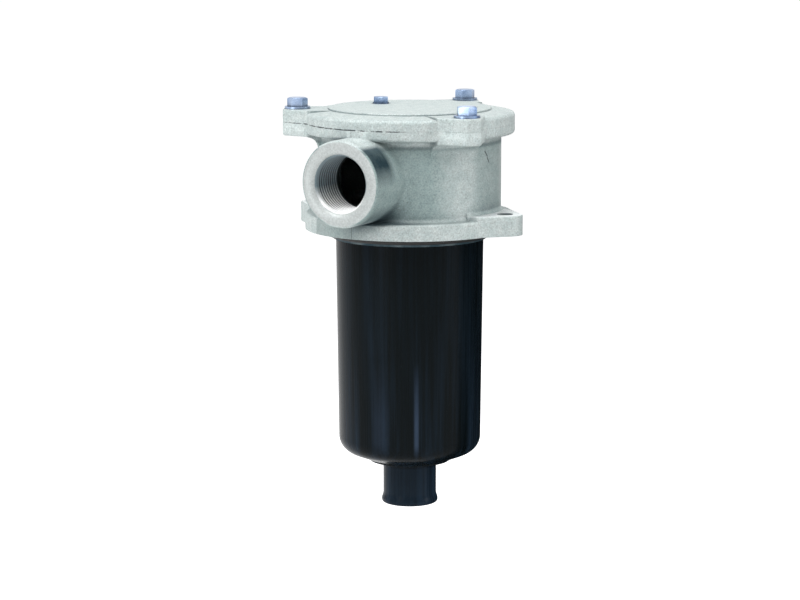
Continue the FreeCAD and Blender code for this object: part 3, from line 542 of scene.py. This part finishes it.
    def cast_colour(self, tree: Tree, grain: Socket, pits: Socket, port_shade: Socket) -> Socket:
        """Colour the surfaces as cast.

        Args:
            tree: The material's tree.
            grain: The fine noise.
            pits: How far a spot is from the nearest pit.
            port_shade: The mask of the painted shade at the port.

        Returns:
            The colour.
        """
        lumps = tree.noise(self.mottle, 4.0, 0.62)
        cast = tree.tint(tree.spread(lumps, 0.36, 0.64), self.shade, self.colour)
        cast = tree.scaled(cast, tree.times(tree.spread(grain, 0.32, 0.68, 0.74, 1.20),
                                            tree.spread(pits, 0.0, 1.0, 0.80, 1.03)))
        wall = self.wall(tree)
        # Painted shadow of the port's boss on the flange below it.
        flange = tree.both(tree.below(tree.z, self.flange_top), tree.below(tree.y, self.port_shadow_front),
                           tree.below(tree.x, 2.0 * MM, 6.0 * MM))
        ear_highlights = tree.both(tree.below(tree.off(tree.z, self.ear_top), 0.1 * MM),
                         tree.above(tree.off(tree.x, 0.0), self.ear_highlight_out))
        # Painted shade on the wall between the flanges, weaker along the painted lighter strip.
        cast = tree.tint(tree.times(wall, self.wall_shade_share(tree)), cast, tree.toned(cast, self.wall_shade))
        cast = tree.tint(flange, cast, tree.toned(cast, self.port_shadow_tone))
        # The ears' machined tops, with a painted highlight.
        cast = tree.tint(ear_highlights, cast, self.machined_ear_highlight)
        # Painted shade over and under the port's boss and on the ledge below.
        cast = tree.tint(port_shade, cast, tree.toned(cast, self.skin))
        # Painted shade under the top flange and in corners.
        shade = tree.times(wall, tree.spread(tree.z, *self.rim_shade, 0.0, 0.90))
        return tree.tint(tree.either(self.crease_shade(tree), shade), cast, self.crease)

    def build(self, machined: Optional[Mask] = None) -> bpy.types.Material:
        """Make the material.

        Args:
            machined: Makes the mask of the machined surfaces, or None.

        Returns:
            The material.
        """
        tree = Tree(self.kind.value)
        grain = tree.noise(self.grain, 4.0, 0.66)
        pits = tree.spread(tree.cells(2.2 * self.grain), 0.08, 0.3)
        port_shade = self.painted_port_shade(tree)
        colour = self.cast_colour(tree, grain, pits, port_shade)
        height = tree.math("ADD", tree.times(grain, 0.8), tree.times(pits, 0.2))
        rough = tree.spread(grain, 0.3, 0.7, self.roughness - 0.06, self.roughness + 0.08)
        metal: Value = self.metallic
        if machined:
            bare = machined(tree)
            cuts = tree.noise(self.cut, 3.0, 0.6)
            bright = tree.scaled(self.bright, tree.spread(cuts, 0.3, 0.7, 0.80, 1.10))
            colour = tree.tint(bare, colour, bright)
            # Painted shade in the thread's roots.
            colour = tree.tint(self.thread_root(tree), colour, self.dark)
            smoother = tree.times(bare, self.roughness - self.bare_roughness)
            rough = tree.math("SUBTRACT", rough, smoother)
            height = tree.times(height, tree.spread(bare, 0.0, 1.0, 1.0, 0.10))
            metal = tree.spread(bare, 0.0, 1.0, self.metallic, self.bare_metallic)
        marked = tree.either(self.joint(tree), self.seam(tree), self.strokes(tree))
        # The port's painted shade also lowers the specular level.
        gloss = tree.spread(port_shade, 0.0, 1.0, self.specular, self.port_shade_specular)
        return tree.finish(Base_Color=tree.tint(marked, colour, self.dark), Metallic=metal, Roughness=rough,
                           Normal=tree.bump(height, self.relief), Specular_IOR_Level=gloss)


@dataclass(frozen=True)
class ThreadFinish:
    """Freshly cut aluminium, with a painted highlight on the crests below and painted shade in the roots and
    on the crests above.
    """

    kind: Finish
    # Painted light and shade: near-white crests low in the bore, darker crests above and near-black roots.
    colour: Colour = (0.97, 0.98, 0.98)
    shaded_crest: Colour = (0.20, 0.27, 0.30)
    root: Colour = (0.012, 0.018, 0.021)
    metallic: float = 0.12
    roughness: float = 0.32
    root_depth: Span = (0.30 * MM, 0.60 * MM)
    crest_shade_span: Span = (-10.0 * MM, -2.0 * MM)
    mouth_end: float = -72.5 * MM

    def build(self) -> bpy.types.Material:
        """Make the material.

        Returns:
            The material.
        """
        tree = Tree(self.kind.value)
        cuts = tree.noise(0.5 * MM, 2.0, 0.5)
        rise = tree.rise()
        start, end = (PORT_BORE + depth for depth in self.root_depth)
        # Painted shade in the roots.
        deep = tree.spread(tree.reach(tree.x, rise), start, end)
        deep = tree.both(deep, tree.above(tree.y, self.mouth_end))
        # Painted highlight on the crests below the port's axis, painted shade above.
        crest = tree.tint(tree.spread(rise, *self.crest_shade_span), self.colour, self.shaded_crest)
        crest = tree.tint(tree.spread(cuts, 0.3, 0.7, 0.0, 0.2), crest, self.root)
        return tree.finish(Base_Color=tree.tint(deep, crest, self.root), Metallic=self.metallic,
                           Roughness=self.roughness, Normal=tree.bump(cuts, 0.01 * MM, 0.6))


@dataclass(frozen=True)
class MetalFinish:
    """Plated, sheet or turned metal with fine marks."""

    kind: Finish
    colour: Colour
    shade: Colour
    roughness: float = 0.32
    mark: float = 0.6 * MM
    relief: float = 0.01 * MM
    turned: bool = False
    # Painted shade in corners, from ambient occlusion.
    occlusion_shade: float = 0.0
    occlusion_shade_colour: Colour = (0.03, 0.04, 0.06)
    occlusion_shade_reach: float = 4.0 * MM

    def build(self) -> bpy.types.Material:
        """Make the material.

        Returns:
            The material.
        """
        tree = Tree(self.kind.value)
        where = tree.stretched((0.2, 0.2, 6.0)) if self.turned else None
        marks = tree.noise(self.mark, 3.0, 0.55, where)
        cloud = tree.noise(9.0 * self.mark, 2.0)
        colour = tree.tint(tree.spread(cloud, 0.35, 0.65), self.shade, self.colour)
        # Painted shade in the corners.
        if self.occlusion_shade:
            occluded_shade = tree.spread(tree.openness(self.occlusion_shade_reach), 0.45, 0.95, self.occlusion_shade, 0.0)
            colour = tree.tint(occluded_shade, colour, self.occlusion_shade_colour)
        rough = tree.spread(marks, 0.3, 0.7, 0.8 * self.roughness, 1.25 * self.roughness)
        normal = tree.bump(marks, self.relief, 0.7)
        return tree.finish(Base_Color=colour, Metallic=1.0, Roughness=rough, Normal=normal)


@dataclass(frozen=True)
class MouldedFinish:
    """Moulded plastic or rubber, with flow lines along the axis."""

    kind: Finish
    colour: Colour
    shade: Colour
    roughness: float
    specular: float = 0.5
    skin: float = 1.2 * MM
    relief: float = 0.01 * MM
    lines: float = 3.0 * MM
    flow: float = 0.12

    def build(self) -> bpy.types.Material:
        """Make the material.

        Returns:
            The material.
        """
        tree = Tree(self.kind.value)
        lines = tree.noise(self.lines, 2.0, 0.5, tree.stretched((1.0, 1.0, self.flow)))
        colour = tree.tint(tree.spread(lines, 0.35, 0.65), self.shade, self.colour)
        rough = tree.spread(lines, 0.3, 0.7, 0.85 * self.roughness, 1.15 * self.roughness)
        normal = tree.bump(tree.noise(self.skin, 3.0, 0.5), self.relief, 0.5)
        return tree.finish(Base_Color=colour, Roughness=rough, Normal=normal,
                           Specular_IOR_Level=self.specular)


@dataclass(frozen=True)
class BowlFinish:
    """Black moulding with pale streaks down its side, partly flow lines and partly painted reflection,
    plainer towards the top, and a paler neck from a painted highlight.
    """

    kind: Finish
    colour: Colour = (0.0026, 0.0050, 0.0062)
    # Pale streak colour: flow lines with painted reflection.
    flow_line_sheen: Colour = (0.0150, 0.0290, 0.0480)
    roughness: float = 0.27
    specular: float = 0.05
    broad: float = 7.0 * MM
    fine: float = 1.6 * MM
    skin: float = 1.2 * MM
    relief: float = 0.01 * MM
    sheen_span: Span = (-150.0 * MM, -35.0 * MM)
    neck_span: Span = (-137.0 * MM, -135.0 * MM)
    neck_highlight_share: float = 0.55
    glint: Colour = (0.043, 0.067, 0.110)
    glint_end: float = -121.0 * MM
    glint_span: Span = (-104.0 * MM, -70.0 * MM)
    glints: tuple[tuple[float, float, float], ...] = (
        (math.radians(-55.2), math.radians(2.4), 0.85),
        (math.radians(-84.6), math.radians(9.0), 0.26),
    )

    def glinting(self, tree: Tree) -> Socket:
        """Mask the soft upright glints low on the bowl's side.

        Args:
            tree: The material's tree.

        Returns:
            How much of the glints' colour shows.
        """
        marks = [tree.spread(tree.toward(tree.x, tree.y, angle), math.cos(half), 1.0, 0.0, strength)
                 for angle, half, strength in self.glints]
        side = tree.above(tree.z, self.glint_end, 4.0 * MM)
        return tree.times(tree.either(*marks), tree.spread(tree.z, *self.glint_span, 1.0, 0.0), side)

    def build(self) -> bpy.types.Material:
        """Make the material.

        Returns:
            The material.
        """
        tree = Tree(self.kind.value)
        lines = tree.noise(self.broad, 3.0, 0.6, tree.stretched((1.0, 1.0, 0.035)))
        fine = tree.noise(self.fine, 2.0, 0.5, tree.stretched((1.0, 1.0, 0.02)))
        # Flow lines with painted reflection, stronger towards the bottom.
        share = tree.times(tree.spread(lines, 0.46, 0.70), tree.spread(tree.z, *self.sheen_span, 0.75, 0.22))
        share = tree.math("ADD", share, tree.spread(fine, 0.45, 0.75, 0.0, 0.10))
        # Painted highlight over the whole neck.
        share = tree.math("ADD", share, tree.spread(tree.z, *self.neck_span, self.neck_highlight_share, 0.0))
        colour = tree.tint(self.glinting(tree), tree.tint(share, self.colour, self.flow_line_sheen), self.glint)
        rough = tree.spread(fine, 0.3, 0.7, 0.9 * self.roughness, 1.15 * self.roughness)
        normal = tree.bump(tree.noise(self.skin, 3.0, 0.5), self.relief, 0.5)
        return tree.finish(Base_Color=colour, Roughness=rough, Normal=normal,
                           Specular_IOR_Level=self.specular)


@dataclass(frozen=True)
class FibreFinish:
    """Paper or pressed fibre, matt and finely streaked."""

    kind: Finish
    colour: Colour
    shade: Colour
    roughness: float = 0.85
    specular: float = 0.25
    fibre: float = 0.5 * MM
    relief: float = 0.05 * MM

    def build(self) -> bpy.types.Material:
        """Make the material.

        Returns:
            The material.
        """
        tree = Tree(self.kind.value)
        fibres = tree.noise(self.fibre, 5.0, 0.7, tree.stretched((1.0, 1.0, 0.35)))
        colour = tree.tint(tree.spread(fibres, 0.3, 0.7), self.shade, self.colour)
        normal = tree.bump(fibres, self.relief, 0.8)
        return tree.finish(Base_Color=colour, Roughness=self.roughness, Specular_IOR_Level=self.specular,
                           Normal=normal)


PLAIN_FINISHES = {plain.kind: plain for plain in (
    CastFinish(Finish.COVER),
    MetalFinish(Finish.ZINC, (0.50, 0.62, 0.82), (0.18, 0.26, 0.42), 0.30, 1.4 * MM, 0.06 * MM, occlusion_shade=0.9),
    MetalFinish(Finish.TIN, (0.55, 0.55, 0.53), (0.42, 0.42, 0.41), 0.38, 2.0 * MM),
    MetalFinish(Finish.CORE, (0.48, 0.48, 0.48), (0.38, 0.38, 0.39), 0.42, 1.5 * MM),
    MetalFinish(Finish.TURNED, (0.56, 0.56, 0.57), (0.42, 0.42, 0.44), 0.3, 0.5 * MM, turned=True),
    MetalFinish(Finish.WIRE, (0.20, 0.20, 0.21), (0.12, 0.12, 0.13), 0.45, 0.8 * MM),
    BowlFinish(Finish.BOWL),
    MouldedFinish(Finish.VALVE, (0.045, 0.045, 0.048), (0.03, 0.03, 0.033), 0.5),
    MouldedFinish(Finish.RUBBER, (0.014, 0.014, 0.014), (0.009, 0.009, 0.009), 0.6, 0.35),
    FibreFinish(Finish.PAPER, (0.80, 0.72, 0.54), (0.70, 0.61, 0.44)),
    FibreFinish(Finish.FIBRE, (0.16, 0.20, 0.17), (0.11, 0.14, 0.12)),
)}


def dress(finish: Finish, *nodes: str) -> None:
    """Make a finish and give it to CAD nodes.

    Args:
        finish: The finish.
        nodes: The nodes' names.
    """
    material = PLAIN_FINISHES[finish].build()
    for node in nodes:
        mesh = frame["nodes"][node].data
        mesh.materials.clear()
        mesh.materials.append(material)
        LOG.info("%s dressed in %s", node, finish.value)


def mesh_from(name: str, shape: bmesh.types.BMesh) -> bpy.types.Mesh:
    """Make a mesh and free what it was built from.

    Args:
        name: The mesh's name.
        shape: What it is built from, which is freed.

    Returns:
        The mesh.
    """
    mesh = bpy.data.meshes.new(name)
    shape.to_mesh(mesh)
    shape.free()
    return mesh


def put_in_scene(name: str, data: Optional[bpy.types.ID]) -> bpy.types.Object:
    """Make an object and link it to the scene.

    Args:
        name: The object's name.
        data: Its mesh, light or camera.

    Returns:
        The object.
    """
    item = bpy.data.objects.new(name, data)
    bpy.context.scene.collection.objects.link(item)
    return item


def evaluated(item: bpy.types.Object) -> bmesh.types.BMesh:
    """Give an object's mesh with its modifiers applied.

    Args:
        item: The object.

    Returns:
        The mesh.
    """
    graph = bpy.context.evaluated_depsgraph_get()
    made = bpy.data.meshes.new_from_object(item.evaluated_get(graph))
    shape = bmesh.new()
    shape.from_mesh(made)
    bpy.data.meshes.remove(made)
    return shape


def add_piece(name: str, shape: bmesh.types.BMesh, material: bpy.types.Material,
              crease: float = math.radians(35)) -> bpy.types.Object:
    """Turn a finished mesh into a piece of the object.

    Args:
        name: The piece's name.
        shape: Its mesh, which is freed.
        material: Its finish.
        crease: The angle past which an edge stays sharp.

    Returns:
        The piece.
    """
    mesh = mesh_from(name, shape)
    mesh.materials.append(material)
    mesh.shade_smooth()
    mesh.set_sharp_from_angle(angle=crease)
    piece = put_in_scene(name, mesh)
    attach(piece, FIXED_BODY)
    LOG.info("%s made with %d faces", name, len(mesh.polygons))
    return piece


class RidgeTree(Nodes):
    """Geometry Nodes that sweep a ridge along a helix and trim it to a chamfered mouth."""

    NUMBERS = ("Root radius", "Crest radius", "Pitch", "Turns", "Root width", "Crest width", "Chamfer",
               "Sink")
    STEPS_PER_TURN = 72

    def __init__(self) -> None:
        """Build the node group with its named inputs."""
        super().__init__(bpy.data.node_groups.new("helical_ridge", "GeometryNodeTree"))
        face = self.tree.interface
        face.new_socket("Geometry", in_out="OUTPUT", socket_type="NodeSocketGeometry")
        kinds = {**dict.fromkeys(self.NUMBERS, "NodeSocketFloat"), "Finish": "NodeSocketMaterial"}
        self.sockets = {name: face.new_socket(name, in_out="INPUT", socket_type=kind).identifier
                        for name, kind in kinds.items()}
        self.given = self.add("NodeGroupInput").outputs
        swept = self.add("GeometryNodeRealizeInstances", {"Geometry": self._trim(self._sweep())})
        dressed = self.add("GeometryNodeSetMaterial",
                           {"Geometry": swept.outputs[0], "Material": self.given["Finish"]})
        self.add("NodeGroupOutput", {0: dressed.outputs[0]})

    def _sweep(self) -> Socket:
        """Sweep the profile along the helix.

        Returns:
            The swept ridge.
        """
        given = self.given
        middle = self.times(self.math("ADD", given["Root radius"], given["Crest radius"]), 0.5)
        spiral = self.add("GeometryNodeCurveSpiral", {
            "Resolution": self.STEPS_PER_TURN, "Rotations": given["Turns"], "Start Radius": middle,
            "End Radius": middle, "Height": self.times(given["Turns"], given["Pitch"])})
        upright = self.add("GeometryNodeSetCurveNormal", {"Curve": spiral.outputs[0]}, mode="Z_UP")
        profile = self.add("GeometryNodeCurvePrimitiveQuadrilateral", {
            "Bottom Width": given["Root width"], "Top Width": given["Crest width"], "Offset": 0.0,
            "Height": self.math("SUBTRACT", given["Root radius"], given["Crest radius"])}, mode="TRAPEZOID")
        turned = self.add("GeometryNodeTransform", {"Geometry": profile.outputs[0],
                                                    "Rotation": (0.0, 0.0, math.radians(-90))})
        return self.add("GeometryNodeCurveToMesh", {
            "Curve": upright.outputs[0], "Profile Curve": turned.outputs[0], "Fill Caps": True}).outputs[0]

    def _trim(self, shape: Socket) -> Socket:
        """Push the crest out where the chamfered mouth would cut it.

        Args:
            shape: The swept ridge.

        Returns:
            The trimmed ridge.
        """
        place = self.add("GeometryNodeInputPosition").outputs[0]
        across, up, along = self.add("ShaderNodeSeparateXYZ", {0: place}).outputs
        radius = self.math("SQRT", self.math("ADD", self.times(across, across), self.times(up, up)))
        over = self.math("MAXIMUM", self.math("SUBTRACT", along, self.given["Chamfer"]), 0.0)
        least = self.math("ADD", self.math("ADD", self.given["Crest radius"], self.given["Sink"]), over)
        grow = self.math("DIVIDE", self.math("MAXIMUM", radius, least), radius)
        joined = self.add("ShaderNodeCombineXYZ", {0: self.times(across, grow), 1: self.times(up, grow),
                                                   2: along})
        return self.add("GeometryNodeSetPosition",
                        {"Geometry": shape, "Position": joined.outputs[0]}).outputs[0]

    def run(self, name: str, **inputs: object) -> bmesh.types.BMesh:
        """Evaluate the group once and give its result as a mesh.

        Args:
            name: A name for the scratch object.
            inputs: The group's inputs, with _ for spaces.

        Returns:
            The ridge, along +Z from the origin.
        """
        holder = put_in_scene(name, bpy.data.meshes.new(name))
        modifier = holder.modifiers.new("ridge", "NODES")
        modifier.node_group = self.tree
        for key, value in inputs.items():
            modifier[self.sockets[key.replace("_", " ")]] = value
        shape = evaluated(holder)
        bpy.data.objects.remove(holder)
        return shape


@dataclass
class Head:
    """The cast head with its tapped inlet port."""

    port_face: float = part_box("head_casting")[0].y
    mouth: float = 17.2 * MM
    bore_end: float = -40.0 * MM
    chamber: float = 46.15 * MM
    chamber_foot: float = 1.0 * MM
    pitch: float = 2.309 * MM
    thread_depth: float = 1.479 * MM
    thread_end: float = 24.2 * MM
    passage: float = 20.0 * MM
    passage_start: float = 25.2 * MM
    passage_end: float = -36.0 * MM
    passage_sides: int = 96
    thread_start: float = 0.6 * MM
    thread_sink: float = 0.02 * MM
    root_bite: float = 0.03 * MM
    root_width: float = 2.05 * MM
    crest_width: float = 0.60 * MM
    near: float = 0.03 * MM

    def machined(self, tree: Tree) -> Socket:
        """Mask the port's face and bore, and the chamber.

        Args:
            tree: The material's tree.

        Returns:
            The mask.
        """
        from_port = tree.reach(tree.x, tree.rise())
        from_axis = tree.reach(tree.x, tree.y)
        face = tree.below(tree.y, self.port_face + 0.12 * MM)
        bore = tree.both(tree.below(from_port, self.mouth + 0.1 * MM), tree.below(tree.y, self.bore_end))
        inside = tree.both(tree.below(from_axis, self.chamber), tree.above(tree.z, self.chamber_foot))
        return tree.either(face, bore, inside)

    def merged_copy(self) -> bmesh.types.BMesh:
        """Copy the CAD casting and join its loose triangles.

        Returns:
            The copy.
        """
        shape = bmesh.new()
        shape.from_mesh(frame["nodes"]["head_casting"].data)
        bmesh.ops.remove_doubles(shape, verts=shape.verts, dist=1e-6)
        return shape

    def lay(self, shape: bmesh.types.BMesh, depth: float) -> None:
        """Turn a mesh that points to +Z on to the port's axis.

        Args:
            shape: The mesh, changed in place.
            depth: The Y that its origin comes to.
        """
        turn = Matrix.Translation((0, depth, PORT_HEIGHT)) @ Matrix.Rotation(math.radians(90), 4, "X")
        bmesh.ops.transform(shape, matrix=turn, verts=shape.verts)

    def cored(self, shape: bmesh.types.BMesh) -> bmesh.types.BMesh:
        """Cut the wider cored passage between the bore and the chamber.

        Args:
            shape: The casting, which is freed.

        Returns:
            The casting with its passage.
        """
        tool = bmesh.new()
        start = self.port_face + self.passage_start
        length = self.passage_end - start
        bmesh.ops.create_cone(tool, cap_ends=True, segments=self.passage_sides, radius1=self.passage,
                              radius2=self.passage, depth=length)
        self.lay(tool, start + length / 2)
        casting = put_in_scene("casting", mesh_from("casting", shape))
        passage = put_in_scene("passage", mesh_from("passage", tool))
        modifier = casting.modifiers.new("passage", "BOOLEAN")
        modifier.object = passage
        modifier.operation = "DIFFERENCE"
        modifier.solver = "EXACT"
        result = evaluated(casting)
        for item in (casting, passage):
            bpy.data.objects.remove(item)
        return result

    def from_port_axis(self, spot: Vector) -> float:
        """Give a point's distance from the port's axis."""
        return math.hypot(spot.x, spot.z - PORT_HEIGHT)

    def port_angle(self, spot: Vector) -> float:
        """Give a point's angle about the port's axis."""
        return math.atan2(spot.z - PORT_HEIGHT, spot.x)

    def on_ring(self, spot: Vector, depth: float, radius: float) -> Vector:
        """Give the point at the same angle about the port's axis.

        Args:
            spot: The point that sets the angle.
            depth: The new point's Y.
            radius: The new point's distance from the port's axis.

        Returns:
            The new point.
        """
        angle = self.port_angle(spot)
        return Vector((radius * math.cos(angle), depth, PORT_HEIGHT + radius * math.sin(angle)))

    def open_bore(self, shape: bmesh.types.BMesh) -> None:
        """Widen the bore to the thread's root, from the chamfer to the end of the thread.

        Args:
            shape: The casting, changed in place.
        """
        wall = [face for face in shape.faces
                if face.calc_center_median().y < -self.chamber / 2
                and all(abs(self.from_port_axis(vert.co) - PORT_BORE) < self.near for vert in face.verts)]
        bmesh.ops.delete(shape, geom=wall, context="FACES")
        start = self.port_face + self.mouth - PORT_BORE
        rim = [vert for vert in shape.verts if vert.is_boundary and abs(vert.co.y - start) < self.near]
        rim.sort(key=lambda vert: self.port_angle(vert.co))
        inner_edges = [edge for edge in shape.edges if edge.is_boundary
                       and not all(abs(vert.co.y - start) < self.near for vert in edge.verts)]
        root = PORT_BORE + self.thread_depth
        end = self.port_face + self.thread_end
        for vert in rim:
            vert.co = self.on_ring(vert.co, vert.co.y - self.thread_depth, root)
        last = rim
        for depth, radius in ((end - self.thread_depth, root), (end, PORT_BORE)):
            ring = [shape.verts.new(self.on_ring(vert.co, depth, radius)) for vert in rim]
            for index in range(len(rim)):
                following = (index + 1) % len(rim)
                shape.faces.new((last[index], last[following], ring[following], ring[index]))
            last = ring
        ends = [edge for edge in shape.edges if edge.is_boundary and all(vert in last for vert in edge.verts)]
        bmesh.ops.bridge_loops(shape, edges=ends + inner_edges)
        bmesh.ops.recalc_face_normals(shape, faces=shape.faces)

    def thread(self, ridges: RidgeTree, material: bpy.types.Material) -> None:
        """Make the thread's ridge and seat it in the widened bore.

        Args:
            ridges: Sweeps the ridge.
            material: The ridge's finish.
        """
        length = self.thread_end - self.thread_depth / 2
        chamfer = self.mouth - PORT_BORE
        run = length - chamfer + self.thread_depth - self.thread_start
        shape = ridges.run(
            "thread", Root_radius=PORT_BORE + self.thread_depth + self.root_bite, Crest_radius=PORT_BORE,
            Pitch=self.pitch, Turns=run / self.pitch, Root_width=self.root_width,
            Crest_width=self.crest_width, Chamfer=length - chamfer, Sink=self.thread_sink, Finish=material)
        self.lay(shape, self.port_face + length)
        bmesh.ops.recalc_face_normals(shape, faces=shape.faces)
        add_piece("inlet_thread", shape, material, math.radians(25))

    def build(self) -> None:
        """Make the dressed casting and its thread."""
        material = CastFinish(Finish.CASTING).build(self.machined)
        shape = self.cored(self.merged_copy())
        self.open_bore(shape)
        piece = add_piece("head", shape, material)
        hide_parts("head_casting")
        self.thread(RidgeTree(), ThreadFinish(Finish.THREAD).build())


@dataclass
class Cover:
    """The cover with its bolts, bleed screw and washer."""

    def build(self) -> None:
        """Dress the cover and what is on it."""
        dress(Finish.COVER, "cover")
        dress(Finish.ZINC, "cover_bolts", "bleed_screw", "bleed_washer")


@dataclass
class Bowl:
    """The moulded bowl and the seals round it."""

    def build(self) -> None:
        """Dress the bowl and the seals."""
        dress(Finish.BOWL, "bowl")
        dress(Finish.RUBBER, "tank_seal", "bowl_seal", "cover_seal", "element_seal", "poppet_seal")


@dataclass
class Element:
    """The filter element: caps, core and pleated sheet."""

    def build(self) -> None:
        """Dress the element."""
        dress(Finish.TIN, "element_top_cap", "element_bottom_cap")
        dress(Finish.CORE, "element_core")
        dress(Finish.PAPER, "element_media")


@dataclass
class BypassValve:
    """The bypass valve on top of the element, and the two springs."""

    spring_foot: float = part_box("bypass_spring")[0].z
    spring_length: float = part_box("bypass_spring")[1].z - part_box("bypass_spring")[0].z
    travel: float = 5.0 * MM

    def build(self) -> None:
        """Dress the valve and the springs, and give the bypass spring a mesh of its own."""
        dress(Finish.VALVE, "bypass_body")
        dress(Finish.FIBRE, "bypass_gasket")
        dress(Finish.TURNED, "bypass_poppet", "spring_retainer")
        dress(Finish.WIRE, "hold_down_spring", "bypass_spring", "retaining_clip")
        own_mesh(frame["nodes"]["bypass_spring"])


@dataclass
class Lamp:
    """One soft white studio light."""

    name: str
    place: Point
    size: tuple[float, float]
    power: float


@dataclass
class Studio:
    """Floor, lights, world and camera."""

    floor_drop: float = 70.0 * MM
    floor_size: float = 12.0
    floor_glow: float = 0.93
    camera_place: Point = (0.7152, -1.2693, 0.20106)
    camera_target: Point = (0.0, 0.0, -0.04167)
    lens: float = 117.35
    sensor: float = 36.0
    shift: float = -9.7 / 800
    clip: tuple[float, float] = (0.01, 50.0)
    world_light: float = 0.10
    flag_from: float = math.radians(20)
    flag_to: float = math.radians(118)
    flag_reach: float = 0.45
    flag_foot: float = 0.03
    flag_lift: float = 0.5 * MM
    flag_top: float = 0.02
    flag_steps: int = 24
    lamps: tuple[Lamp, ...] = (
        Lamp("top_softbox", (0.0, 0.0, 1.0), (0.8, 0.8), 5.0),
        Lamp("front_softbox", (0.40, -0.75, 1.0), (0.6, 0.6), 4.5),
        Lamp("key_softbox", (-0.42, -0.86, 0.75), (0.5, 0.5), 5.5),
        Lamp("left_softbox", (-1.10, -0.42, 0.40), (0.5, 0.8), 1.6),
        Lamp("right_softbox", (1.10, 0.35, 0.45), (0.4, 0.8), 5.5),
        Lamp("low_softbox", (-0.30, -1.30, 0.10), (0.5, 0.5), 2.1),
    )

    def lights(self) -> None:
        """Hang the lamps, each turned to the part."""
        for lamp in self.lamps:
            light = bpy.data.lights.new(lamp.name, "AREA")
            light.shape = "RECTANGLE"
            light.size, light.size_y = lamp.size
            light.energy = lamp.power
            item = put_in_scene(lamp.name, light)
            item.location = lamp.place
            item.rotation_euler = (-Vector(lamp.place)).to_track_quat("-Z", "Y").to_euler()

    def shown_white(self, nodes: Nodes) -> Socket:
        """Mask the rays that see the background: camera, glossy and transmission rays.

        Args:
            nodes: The tree that gets the nodes.

        Returns:
            The mask.
        """
        rays = nodes.add("ShaderNodeLightPath").outputs
        kinds = ("Camera", "Glossy", "Transmission")
        return nodes.fold("MAXIMUM", [rays[f"Is {kind} Ray"] for kind in kinds])

    def world(self) -> None:
        """Make a world that looks white and lights the part at a plain level."""
        world = bpy.data.worlds.new("studio")
        bpy.context.scene.world = world
        world.use_nodes = True
        nodes = Nodes(world.node_tree)
        background = world.node_tree.nodes["Background"]
        nodes.feed(background.inputs["Color"], (1.0, 1.0, 1.0))
        strength = nodes.spread(self.shown_white(nodes), 0.0, 1.0, self.world_light, 1.0)
        nodes.feed(background.inputs["Strength"], strength)

    def matt(self, piece: bpy.types.Object, name: str, grey: float, roughness: float) -> bpy.types.Material:
        """Give an object a plain material without gloss.

        Args:
            piece: The object.
            name: The material's name.
            grey: How light it is.
            roughness: How rough it is.

        Returns:
            The material.
        """
        material = bpy.data.materials.new(name)
        material.use_nodes = True
        shader = material.node_tree.nodes["Principled BSDF"]
        shader.inputs["Base Color"].default_value = (grey, grey, grey, 1.0)
        shader.inputs["Roughness"].default_value = roughness
        shader.inputs["Specular IOR Level"].default_value = 0.0
        piece.data.materials.append(material)
        return material

    def floor(self) -> None:
        """Lay a pale floor under the part."""
        shape = bmesh.new()
        bmesh.ops.create_grid(shape, x_segments=1, y_segments=1, size=self.floor_size)
        floor = put_in_scene("floor", mesh_from("floor", shape))
        floor.location.z = CAD_BOX[0].z - self.floor_drop
        tree = self.matt(floor, "pale_floor", 0.9, 0.9).node_tree
        nodes = Nodes(tree)
        inputs = tree.nodes["Principled BSDF"].inputs
        nodes.feed(inputs["Emission Color"], (1.0, 1.0, 1.0))
        nodes.feed(inputs["Emission Strength"], nodes.times(self.shown_white(nodes), self.floor_glow))

    def flag(self) -> None:
        """Stand a dark curved screen to the right, which only reflections show."""
        shape = bmesh.new()
        low = CAD_BOX[0].z - self.floor_drop + self.flag_lift
        section = ((self.flag_foot, low), (self.flag_reach, low), (self.flag_reach, self.flag_top))
        last = None
        for step in range(self.flag_steps + 1):
            angle = self.flag_from + (self.flag_to - self.flag_from) * step / self.flag_steps
            row = [shape.verts.new((reach * math.cos(angle), reach * math.sin(angle), height))
                   for reach, height in section]
            for one, other in ((0, 1), (1, 2)):
                if last:
                    shape.faces.new((last[one], last[other], row[other], row[one]))
            last = row
        flag = put_in_scene("dark_flag", mesh_from("dark_flag", shape))
        self.matt(flag, "dark_cloth", 0.01, 1.0)
        flag.visible_camera = False
        flag.visible_diffuse = False
        flag.visible_shadow = False

    def camera(self) -> None:
        """Set the camera where the photograph was taken from."""
        data = bpy.data.cameras.new("camera")
        data.lens = self.lens
        data.sensor_width = self.sensor
        data.shift_x = self.shift
        data.clip_start, data.clip_end = self.clip
        item = put_in_scene("camera", data)
        item.location = self.camera_place
        aim = Vector(self.camera_target) - Vector(self.camera_place)
        item.rotation_euler = aim.to_track_quat("-Z", "Y").to_euler()
        bpy.context.scene.camera = item

    def build(self) -> None:
        """Make everything round the part."""
        self.camera()
        self.lights()
        self.world()
        self.floor()
        self.flag()
        bpy.context.scene.view_settings.view_transform = "Standard"


def main() -> None:
    """Build the sub-assemblies in order, then the studio."""
    logging.basicConfig(level=logging.INFO, format="%(message)s")
    for part in (Head(), Cover(), Bowl(), Element(), BypassValve(), Studio()):
        part.build()
        LOG.info("%s done", type(part).__name__)


if __name__ == "__main__":
    main()
